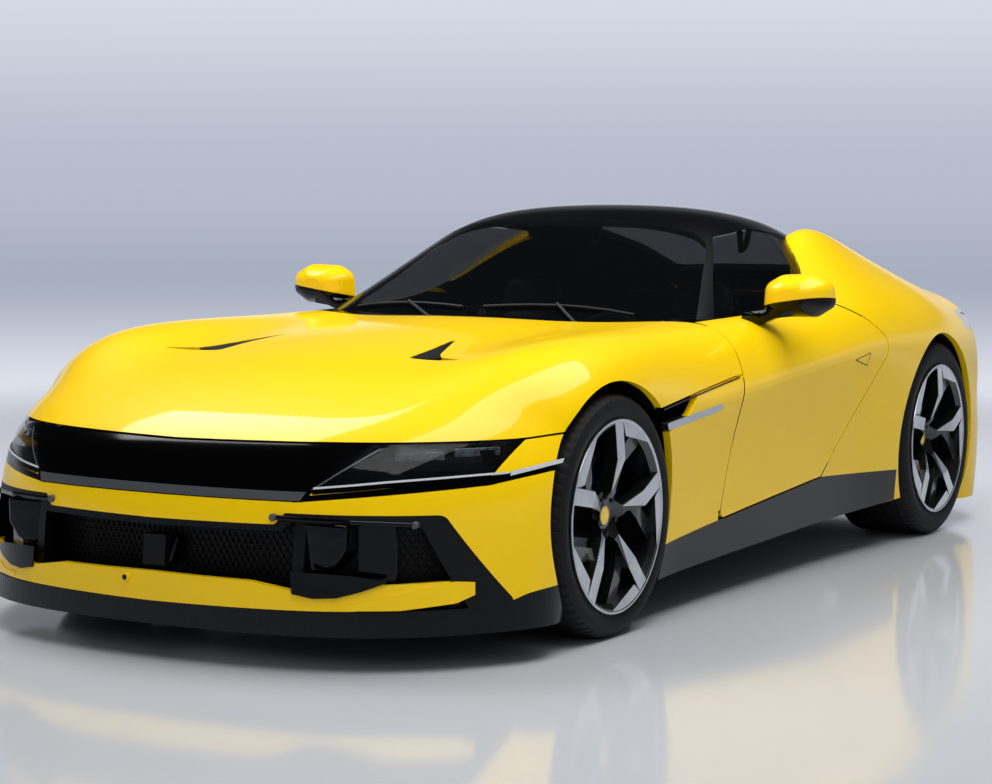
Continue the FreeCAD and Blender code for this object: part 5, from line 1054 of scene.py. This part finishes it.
# Bonnet, sides and mirrors
# Silvered mirror glass, the clearest reflection on the car
mirrorGlass = layered("silveredMirror", "#c9ced4", {"Metallic": 1.0, "Roughness": 0.03})
sideShapes = {
    "hoodLine": [(-1.100, 0.6625), (-0.900, 0.6840), (-0.700, 0.7055), (-0.508, 0.7260)],
    "handle": [(0.438, 0.7305), (0.575, 0.7525), (0.552, 0.7035)],
    "ventSideA": [(0.352, -1.553), (0.345, -1.408), (0.311, -1.193)],
    "ventSideB": [(0.454, -1.526), (0.422, -1.482), (0.371, -1.352), (0.311, -1.193)],
    "patchSteps": 8, "patchRings": 4,
}
layStrip("bonnet_side_seal", rubberBlack, "side",
         (sideShapes["hoodLine"], offsetLine(sideShapes["hoodLine"], -0.005)), (50, 2),
         (0.0004, 0.0016))


# A closed outline lying on the skin, filled from its middle
def skinPatch(tree, outline, view, rise, inset=0.0):
    middle = [sum(p[k] for p in outline) / len(outline) for k in (0, 1)]
    steps = sideShapes["patchSteps"]
    edge = [between(a, b, i / steps) for a, b in zip(outline, outline[1:] + outline[:1])
            for i in range(steps)]
    edge = [between(p, middle, inset) for p in edge + edge[:1]]
    return skinStrip(tree, edge, [middle] * len(edge), view,
                     (len(edge) - 1, sideShapes["patchRings"]), rise)


doorPair = ("left_door", "right_door")
handleRim = skinPatch(bodyTree, sideShapes["handle"], "side", (0.0006, 0.0012))
bothSides(handleRim, "door_handle_gap", rubberBlack, doorPair)
handleFace = skinPatch(bodyTree, sideShapes["handle"], "side", (0.0016, 0.0016), 0.16)
bothSides(handleFace, "door_handle", finishes["paint"], doorPair)
layStrip("bonnet_vent_mesh", finishes["grille_black"], "top",
         (sideShapes["ventSideA"], sideShapes["ventSideB"]), (30, 6), (-0.0035, 0.003),
         ("bonnet", "bonnet"))


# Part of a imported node, cut by a plane and grown a little as a fitted cover
def coverFrom(node, point, upward, grow):
    cover = copyOf(nodes[node])
    cover.modifiers.clear()
    cover.vertex_groups.clear()
    for collection in list(cover.users_collection):
        if collection != bpy.context.scene.collection:
            collection.objects.unlink(cover)
    editAll(cover)
    bpy.ops.mesh.remove_doubles(threshold=mirrorShape["weld"])
    bpy.ops.mesh.select_all(action="SELECT")
    bpy.ops.mesh.bisect(plane_co=point, plane_no=upward, use_fill=False, clear_outer=True)
    toObjectMode()
    return smooth(thickened(cover, grow, 1.0), 50)


mirrorShape = {"weld": 0.00005, "cut": (0.978, -0.09, 0.9555), "cutLean": (-0.15, 0.10, 1.0),
               "cover": 0.0012, "glass": (0.985, -0.041, 0.976),
               "glassSize": (0.176, 0.003, 0.086), "glassBevel": 0.0012}
for side, sign in sideSigns:
    mirrored = Vector((sign, 1, 1))
    lower = coverFrom(side + "_mirror", mirrored * Vector(mirrorShape["cut"]),
                      (mirrored * Vector(mirrorShape["cutLean"])).normalized(),
                      mirrorShape["cover"])
    dress(lower, side + "_mirror_base", blackPanel, side + "_door")
    glass = roundedBlock(mirrored * Vector(mirrorShape["glass"]), mirrorShape["glassSize"],
                         mirrorShape["glassBevel"])
    dress(glass, side + "_mirror_glass", mirrorGlass, side + "_door")

# Wipers parked along the foot of the windscreen
wiperSet = {"left_wiper": {"blade": ((0.56, -0.475), (0.02, -0.548)), "pivot": (0.40, -0.585)},
            "right_wiper": {"blade": ((-0.06, -0.552), (-0.54, -0.482)),
                            "pivot": (-0.16, -0.610)}}
wiperSizes = {"lift": 0.010, "spans": 6, "bladeRadius": 0.0055, "hubRadius": 0.013,
              "hubFoot": 0.004, "hubTop": 0.016, "armFoot": 0.014, "armRadius": 0.0065,
              "armEnd": (0, -0.004, 0.006)}
for name, wiperPlace in wiperSet.items():
    points = []
    for i in range(wiperSizes["spans"] + 1):
        x, y = between(*wiperPlace["blade"], i / wiperSizes["spans"])
        place, normal = onSkin(canopyTree, x, y, "top")
        points.append(place + normal * wiperSizes["lift"])
    rods = [rodBetween(a, b, wiperSizes["bladeRadius"], 12) for a, b in zip(points, points[1:])]
    pivot, normal = onSkin(canopyTree, *wiperPlace["pivot"], "top")
    hub = rodBetween(pivot - normal * wiperSizes["hubFoot"],
                     pivot + normal * wiperSizes["hubTop"], wiperSizes["hubRadius"], 24, 0.003)
    arm = rodBetween(pivot + normal * wiperSizes["armFoot"],
                     points[3] + Vector(wiperSizes["armEnd"]), wiperSizes["armRadius"], 14)
    dress(smooth(join(rods + [hub, arm]), 45), name, rubberBlack, "chassis")
print("sides done")

# Cabin
# Dark screen glass, glossy over a blue-black ground
screenGlass = layered("darkScreenGlass", "#04050a", {
    "Roughness": 0.06, "Coat Weight": 1.0, "Coat Roughness": 0.02}, (roughDrift, 60, 0.05, 0.09))

padSet = {"cuts": 23, "softness": 5.0, "channelWidth": 0.016, "channelDepth": 0.009,
          "crown": 0.10}


# Place and outward direction at a share of a three-point path in the car's side view
def bendAt(path, share):
    a, b, c = path
    place = between(between(a, b, share), between(b, c, share), share)
    run = between([q - p for p, q in zip(a, b)], [q - p for p, q in zip(b, c)], share)
    length = math.hypot(*run)
    return place, (-run[1] / length, run[0] / length)


# A stuffed form bent along a path, with sewn channels pressed in
def stuffed(path, middleX, halfWidth, thickness, seams=(), taper=0.0):
    deselect()
    bpy.ops.mesh.primitive_cube_add(size=2)
    pad = bpy.context.object
    editAll(pad)
    bpy.ops.mesh.subdivide(number_cuts=padSet["cuts"])
    toObjectMode()
    power = padSet["softness"]
    for vertex in pad.data.vertices:
        size = sum(abs(v) ** power for v in vertex.co) ** (1 / power)
        x, along, up = vertex.co / size
        share = (along + 1) / 2
        dent = sum(math.exp(-((share - s) / padSet["channelWidth"]) ** 2) for s in seams)
        crown = 1 + padSet["crown"] * (1 - x * x) * (1 - along * along)
        pressed = max(up, 0) * min(dent, 1.0) * padSet["channelDepth"]
        rise = up * thickness / 2 * crown - pressed
        place, outward = bendAt(path, share)
        vertex.co = Vector((middleX + x * halfWidth * (1 - taper * share),
                            place[0] + outward[0] * rise, place[1] + outward[1] * rise))
    return smooth(turnOut(pad), 60)


# Seat forms: path in (y, z), offset to the door's side, half width, thickness, seams, taper
seatSet = {"x": 0.365, "fill": 0.85, "shellHalf": 0.236, "shellWall": 0.022, "shellTaper": 0.32,
           "shell": ((0.352, 0.165), (0.392, 0.520), (0.502, 0.955)),
           "pan": (0.09, 0.195), "panSize": (0.45, 0.50, 0.086), "panBevel": 0.02,
           "rails": (0.08, 0.1565), "railSize": (0.03, 0.52, 0.012), "railStep": 0.17,
           "railBevel": 0.003}
cushionSide = ((-0.168, 0.296), (0.02, 0.290), (0.250, 0.250))
backSide = ((0.262, 0.262), (0.372, 0.560), (0.452, 0.872))
seatPads = {
    "seat_cushion": (((-0.168, 0.278), (0.02, 0.262), (0.225, 0.222)), 0.0, 0.158, 0.086,
                     (0.22, 0.40, 0.58, 0.76), 0.0),
    "seat_back": (((0.250, 0.262), (0.350, 0.540), (0.438, 0.868)), 0.0, 0.158, 0.078,
                  (0.2, 0.34, 0.48, 0.62, 0.76), 0.12),
    "seat_outer_bolster": (cushionSide, 0.200, 0.043, 0.100, (), 0.0),
    "seat_inner_bolster": (cushionSide, -0.200, 0.043, 0.100, (), 0.0),
    "back_outer_bolster": (backSide, 0.197, 0.045, 0.100, (), 0.25),
    "back_inner_bolster": (backSide, -0.197, 0.045, 0.100, (), 0.25),
    "head_rest": (((0.452, 0.868), (0.466, 0.930), (0.478, 0.992)), 0.0, 0.125, 0.072, (),
                  0.15)}
for side, sign in sideSigns:
    middle = sign * seatSet["x"]
    for name, (path, offset, halfWidth, thickness, seams, taper) in seatPads.items():
        pad = stuffed(path, middle + sign * offset, halfWidth, thickness, seams, taper)
        dress(pad, side + "_" + name, finishes["seat_leather"], "chassis")
        if (side, name) == ("left", "seat_cushion"):
            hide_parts("seats")
    shell = stuffed(seatSet["shell"], middle, seatSet["shellHalf"], seatSet["shellWall"], (),
                    seatSet["shellTaper"])
    dress(shell, side + "_seat_shell", finishes["carbon_black"], "chassis")
    pan = roundedBlock((middle, *seatSet["pan"]), seatSet["panSize"], seatSet["panBevel"], 4)
    dress(smooth(pan), side + "_seat_pan", finishes["grille_black"], "chassis")
    rails = join([roundedBlock((middle + step, *seatSet["rails"]), seatSet["railSize"],
                               seatSet["railBevel"])
                  for step in (-seatSet["railStep"], seatSet["railStep"])])
    dress(smooth(rails), side + "_seat_rails", finishes["link_steel"], "chassis")


def dressJoined(pieces, name, finish, body="chassis"):
    dress(smooth(join(pieces)), name, finish, body)


# Dashboard: hooded instruments, middle screen, round vents, switch row and pedals
dashSet = {"hood": ((-0.47, 0.808), (-0.40, 0.842), (-0.300, 0.812)), "hoodX": 0.365,
           "hoodHalf": 0.165, "hoodWall": 0.05,
           "dials": ((0.365, -0.2905, 0.794), (0.25, 0.004, 0.04), 0.002),
           "screen": ((0.0, -0.262, 0.722), (0.21, 0.012, 0.062), 0.005),
           "ventX": (-0.62, -0.24, 0.17, 0.61), "ventZ": 0.728, "ventBack": -0.285,
           "ventFront": -0.257, "ventRadius": 0.036, "ventBevel": 0.004,
           "vaneY": -0.2555, "vaneSteps": (-0.018, -0.006, 0.006, 0.018), "vaneReach": 0.030,
           "vaneSize": (0.004, 0.003), "vaneBevel": 0.001,
           "console": ((0.0, 0.02, 0.404), (0.14, 0.42, 0.008), 0.003),
           "switchFirst": (-0.03, -0.06), "switchPitch": (0.03, 0.05), "switchCount": (3, 4),
           "switchZ": 0.4095, "switchSize": (0.022, 0.036, 0.006), "switchBevel": 0.002,
           "pedalX": (0.30, 0.42), "pedal": (-0.585, 0.28), "pedalSize": (0.055, 0.014, 0.12),
           "pedalBevel": 0.005, "armLow": (-0.59, 0.33), "armHigh": (-0.66, 0.50),
           "armRadius": 0.009}
hood = stuffed(dashSet["hood"], dashSet["hoodX"], dashSet["hoodHalf"], dashSet["hoodWall"])
dress(hood, "instrument_hood", finishes["trim_leather"], "chassis")
dress(roundedBlock(*dashSet["dials"]), "instrument_screen", screenGlass, "chassis")
dress(smooth(roundedBlock(*dashSet["screen"])), "middle_screen", screenGlass, "chassis")
ventZ, vaneReach = dashSet["ventZ"], dashSet["vaneReach"]
dressJoined([rodBetween((x, dashSet["ventBack"], ventZ), (x, dashSet["ventFront"], ventZ),
                        dashSet["ventRadius"], 40, dashSet["ventBevel"])
             for x in dashSet["ventX"]], "air_vents", blackPanel)
dressJoined([roundedBlock((x, dashSet["vaneY"], ventZ + step),
                          (2 * math.sqrt(vaneReach ** 2 - step ** 2), *dashSet["vaneSize"]),
                          dashSet["vaneBevel"], 2)
             for x in dashSet["ventX"] for step in dashSet["vaneSteps"]],
            "air_vent_vanes", satinGrey)
dress(smooth(roundedBlock(*dashSet["console"])), "console_plate", blackPanel, "chassis")
(firstX, firstY), (pitchX, pitchY) = dashSet["switchFirst"], dashSet["switchPitch"]
columns, rows = dashSet["switchCount"]
dressJoined([roundedBlock((firstX + pitchX * column, firstY + pitchY * row, dashSet["switchZ"]),
                          dashSet["switchSize"], dashSet["switchBevel"], 2)
             for column in range(columns) for row in range(rows)],
            "console_switches", satinGrey)
pedals = [roundedBlock((x, *dashSet["pedal"]), dashSet["pedalSize"], dashSet["pedalBevel"])
          for x in dashSet["pedalX"]]
pedals += [rodBetween((x, *dashSet["armLow"]), (x, *dashSet["armHigh"]), dashSet["armRadius"],
                      14) for x in dashSet["pedalX"]]
dressJoined(pedals, "pedals", finishes["link_steel"])

# Steering wheel: padded hub, thumb spokes and paddles in the plane of the ring
wheelSet = {"place": (0.365, -0.205, 0.735), "lean": -68,
            "hub": ((0, 0, 0.022), (0.118, 0.098, 0.034), 0.015, 5),
            "spoke": ((0.105, -0.004, 0.010), (0.115, 0.030, 0.016), 0.006),
            "lowSpoke": ((0, -0.105, 0.010), (0.034, 0.112, 0.014), 0.005),
            "paddle": ((0.118, 0.03, -0.024), (0.05, 0.11, 0.005), 0.002, 2)}
wheelPlane = (Matrix.Translation(wheelSet["place"])
              @ Matrix.Rotation(math.radians(wheelSet["lean"]), 4, "X"))


# The same block on the wheel's right and left
def blockPair(centre, *sizes):
    return [roundedBlock((sign * centre[0], *centre[1:]), *sizes) for sign in (-1, 1)]


for name, finishName, blocks in (
        ("steering_hub_pad", "trim_leather", [roundedBlock(*wheelSet["hub"])]
         + blockPair(*wheelSet["spoke"]) + [roundedBlock(*wheelSet["lowSpoke"])]),
        ("shift_paddles", "carbon_black", blockPair(*wheelSet["paddle"]))):
    joined = join(blocks)
    joined.data.transform(wheelPlane)
    dress(smooth(joined), name, finishes[finishName], "chassis")

# Plain door linings
liningSet = {"place": (0.7538, 0.06, 0.60), "size": (0.0032, 1.02, 0.42), "bevel": 0.0012}
for side, sign in sideSigns:
    x, y, z = liningSet["place"]
    doorLining = roundedBlock((sign * x, y, z), liningSet["size"], liningSet["bevel"], 2)
    dress(smooth(doorLining), side + "_door_lining", finishes["trim_leather"], side + "_door")
print("cabin done")

# Engine bay
# Crackle enamel on the plenums: matt grey with a coarse broken skin
crackleGrey = layered("crackleGreyEnamel", "#3a3b3e", {"Roughness": 0.6},
                      (variation, ("#333437", "#454649"), 90, (0.5, 0.7), 1.4, 0.35))
engineSet = {"x": 0.165, "top": 0.735, "plenum": (-1.21, 0.014), "plenumSize": (0.20, 0.60, 0.030),
             "plenumBevel": 0.012, "ribs": 6, "ribFirst": -1.46, "ribPitch": 0.1,
             "ribLift": 0.030, "ribSize": (0.16, 0.012, 0.008), "ribBevel": 0.003,
             "runnerFrom": (0.075, 0.008), "runnerTo": (0.02, 0.004), "runnerRadius": 0.018,
             "bolts": 7, "boltFirst": -1.48, "boltPitch": 0.09, "boltEdge": 0.092,
             "boltFoot": 0.004, "boltTop": 0.036, "boltRadius": 0.0055,
             "fillerY": -0.85, "fillerRise": 0.024, "fillerRadius": 0.035, "fillerBevel": 0.004}
top = engineSet["top"]
ribPlaces = [engineSet["ribFirst"] + engineSet["ribPitch"] * i for i in range(engineSet["ribs"])]
boltPlaces = [engineSet["boltFirst"] + engineSet["boltPitch"] * i
              for i in range(engineSet["bolts"])]
for side, sign in sideSigns:
    middle = sign * engineSet["x"]
    plenum = roundedBlock((middle, engineSet["plenum"][0], top + engineSet["plenum"][1]),
                          engineSet["plenumSize"], engineSet["plenumBevel"], 5)
    ribs = [roundedBlock((middle, y, top + engineSet["ribLift"]), engineSet["ribSize"],
                         engineSet["ribBevel"], 2) for y in ribPlaces]
    dressJoined([plenum] + ribs, side + "_plenum", crackleGrey)
    (fromX, fromZ), (toX, toZ) = engineSet["runnerFrom"], engineSet["runnerTo"]
    dressJoined([rodBetween((sign * fromX, y, top + fromZ), (sign * toX, y, top + toZ),
                            engineSet["runnerRadius"], 20) for y in ribPlaces],
                side + "_intake_runners", finishes["engine_metal"])
    bolts = [rodBetween((middle + edge, y, top + engineSet["boltFoot"]),
                        (middle + edge, y, top + engineSet["boltTop"]),
                        engineSet["boltRadius"], 6)
             for y in boltPlaces for edge in (-engineSet["boltEdge"], engineSet["boltEdge"])]
    dress(join(bolts), side + "_plenum_bolts", lugSteel, "chassis")
filler = rodBetween((0.0, engineSet["fillerY"], top),
                    (0.0, engineSet["fillerY"], top + engineSet["fillerRise"]),
                    engineSet["fillerRadius"], 32, engineSet["fillerBevel"])
dress(smooth(filler), "oil_filler_cap", finishes["grille_black"], "chassis")
print("engine done")

# Tail
# Red light guide, milky and brighter than the lens round it
frostRed = layered("litRedGuide", "#b01018", {"Roughness": 0.25, "Coat Weight": 0.6},
                   (roughDrift, 40, 0.2, 0.3))
tailLines = {
    "lamp": [(0.545, 0.838), (0.66, 0.838), (0.76, 0.836), (0.84, 0.833)],
    "plate": [(-0.26, 0.50), (0.26, 0.50)],
    "seam": [(-0.90, 0.585), (-0.5, 0.612), (0.0, 0.618), (0.5, 0.612), (0.90, 0.585)],
    "reflector": [(0.66, 0.335), (0.80, 0.350)],
}
pair = ("chassis", "chassis")
for name, finish, lineName, rise, grid, lift, bodies in (
        ("tail_lamp_guide", frostRed, "lamp", 0.012, (40, 2), (0.0012, 0.0015), pair),
        ("blank_plate_panel", blackPanel, "plate", 0.115, (20, 8), (0.0008, 0.001), "chassis"),
        ("rear_bumper_seam", rubberBlack, "seam", 0.003, (60, 1), (0.0003, 0.0008), "chassis"),
        ("rear_reflector", frostRed, "reflector", 0.016, (20, 2), (0.0014, 0.0016), pair)):
    line = tailLines[lineName]
    layStrip(name, finish, "rear", (line, offsetLine(line, rise)), grid, lift, bodies)
finSet = {"x": (-0.24, -0.08, 0.08, 0.24), "place": (2.265, 0.150), "size": (0.008, 0.13, 0.075),
          "bevel": 0.003}
dressJoined([roundedBlock((x, *finSet["place"]), finSet["size"], finSet["bevel"], 2)
             for x in finSet["x"]], "diffuser_fins", finishes["carbon_black"])
print("tail done")

# Camera, solved from the photo's wheels and nose
cameraPlace = {"place": (4.230, -7.616, 1.2756), "turn": 30.49, "tilt": -4.44, "roll": 0.29,
               "lens": 86.9, "sensor": 36.0}
cameraData = bpy.data.cameras.new("photoCamera")
cameraData.lens = cameraPlace["lens"]
cameraData.sensor_width = cameraPlace["sensor"]
cameraData.sensor_fit = "HORIZONTAL"
camera = bpy.data.objects.new("photoCamera", cameraData)
bpy.context.scene.collection.objects.link(camera)
aim = Euler((math.radians(90 + cameraPlace["tilt"]), 0, math.radians(cameraPlace["turn"])))
camera.matrix_world = (Matrix.Translation(cameraPlace["place"]) @ aim.to_matrix().to_4x4()
                       @ Matrix.Rotation(math.radians(cameraPlace["roll"]), 4, "Z"))
bpy.context.scene.camera = camera

# Studio: tones go by the sine of the height angle, from the floor's glow up to a dark roof
# Lamps: name, place, turn in degrees, size, watts, and whether reflections show them
studio = {"floorSize": 60.0, "floor": "#cdd0d6", "floorRough": 0.10, "floorIor": 1.85,
          "floorEnd": (5.5, 9.5),
          "tones": [(-0.12, "#dfe3ec"), (-0.080, "#dfe3ec"), (-0.030, "#a8afbf"),
                    (0.010, "#b6bccc"), (0.100, "#d8dce7"), (0.22, "#54575f"),
                    (0.40, "#141518")],
          "fill": 0.27, "fillTone": "#eef0f4",
          "lamps": [("leftOverhead", (1.95, -1.4, 4.6), (0, 10, 0), (2.5, 6.8), 245, True),
                    ("rightOverhead", (-2.5, -0.9, 4.6), (0, -24, 0), (2.4, 2.8), 140, True),
                    ("rearOverhead", (-0.4, 4.6, 4.0), (-34, 0, 0), (3.6, 2.0), 95, False),
                    ("leftWall", (7.0, -1.0, 2.6), (0, 72, 0), (1.6, 9.0), 8, False),
                    ("frontFill", (1.5, -8.5, 3.6), (60, 0, 10), (6.0, 3.0), 48, False)]}
deselect()
bpy.ops.mesh.primitive_plane_add(size=studio["floorSize"], location=(0, 0, 0))
floor = settle(bpy.context.object)
floor.name = "studioFloor"

# Polished resin floor: a soft mirror image that fades out before the horizon
floorFinish, floorTree, floorShader = newFinish(
    "polishedResinFloor", studio["floor"],
    {"Roughness": studio["floorRough"], "IOR": studio["floorIor"]})
reach = addNode(floorTree, "ShaderNodeVectorMath", {"operation": "LENGTH"})
floorTree.links.new(objectCoords(floorTree), reach.inputs[0])
fade = addNode(floorTree, "ShaderNodeMapRange",
               {"From Min": studio["floorEnd"][0], "From Max": studio["floorEnd"][1],
                "interpolation_type": "SMOOTHSTEP"}, {"Value": reach.outputs["Value"]})
clear = addNode(floorTree, "ShaderNodeBsdfTransparent")
blend = addNode(floorTree, "ShaderNodeMixShader", {}, {"Fac": fade.outputs["Result"]})
floorTree.links.new(floorShader.outputs["BSDF"], blend.inputs[1])
floorTree.links.new(clear.outputs["BSDF"], blend.inputs[2])
floorTree.links.new(blend.outputs["Shader"],
                    floorTree.nodes["Material Output"].inputs["Surface"])
floor.data.materials.append(floorFinish)

world = bpy.data.worlds.new("paleStudio")
bpy.context.scene.world = world
world.use_nodes = True
worldTree = world.node_tree
worldTree.nodes.clear()
split = addNode(worldTree, "ShaderNodeSeparateXYZ", {},
                {"Vector": addNode(worldTree, "ShaderNodeTexCoord").outputs["Generated"]})
lowest, highest = studio["tones"][0][0], studio["tones"][-1][0]
height = addNode(worldTree, "ShaderNodeMapRange", {"From Min": lowest, "From Max": highest},
                 {"Value": split.outputs["Z"]})
wall = addNode(worldTree, "ShaderNodeValToRGB", {}, {"Fac": height.outputs["Result"]})
wall.color_ramp.interpolation = "EASE"
wall.color_ramp.elements.remove(wall.color_ramp.elements[1])
for sine, tone in studio["tones"]:
    share = (sine - lowest) / (highest - lowest)
    stop = wall.color_ramp.elements.new(share) if share else wall.color_ramp.elements[0]
    stop.color = toLinear(tone)
seen = addNode(worldTree, "ShaderNodeBackground", {"Strength": 1.0},
               {"Color": wall.outputs["Color"]})
fill = addNode(worldTree, "ShaderNodeBackground",
               {"Color": toLinear(studio["fillTone"]), "Strength": studio["fill"]})

# Camera, mirror and glass rays see the tones, and all other rays the even fill
paths = addNode(worldTree, "ShaderNodeLightPath")
anySeen = paths.outputs["Is Camera Ray"]
for rayKind in ("Is Glossy Ray", "Is Transmission Ray"):
    either = addNode(worldTree, "ShaderNodeMath", {"operation": "MAXIMUM"})
    worldTree.links.new(anySeen, either.inputs[0])
    worldTree.links.new(paths.outputs[rayKind], either.inputs[1])
    anySeen = either.outputs["Value"]
choice = addNode(worldTree, "ShaderNodeMixShader", {}, {"Fac": anySeen})
worldTree.links.new(fill.outputs["Background"], choice.inputs[1])
worldTree.links.new(seen.outputs["Background"], choice.inputs[2])
addNode(worldTree, "ShaderNodeOutputWorld", {}, {"Surface": choice.outputs["Shader"]})

for lampName, lampPlace, lampTurn, lampSize, lampPower, mirrored in studio["lamps"]:
    lampData = bpy.data.lights.new(lampName, "AREA")
    lampData.shape = "RECTANGLE"
    lampData.size, lampData.size_y = lampSize
    lampData.energy = lampPower
    lamp = bpy.data.objects.new(lampName, lampData)
    bpy.context.scene.collection.objects.link(lamp)
    lamp.location = lampPlace
    lamp.rotation_euler = [math.radians(a) for a in lampTurn]
    lamp.visible_glossy = mirrored

bpy.context.scene.view_settings.view_transform = "Standard"
print("camera and light done")
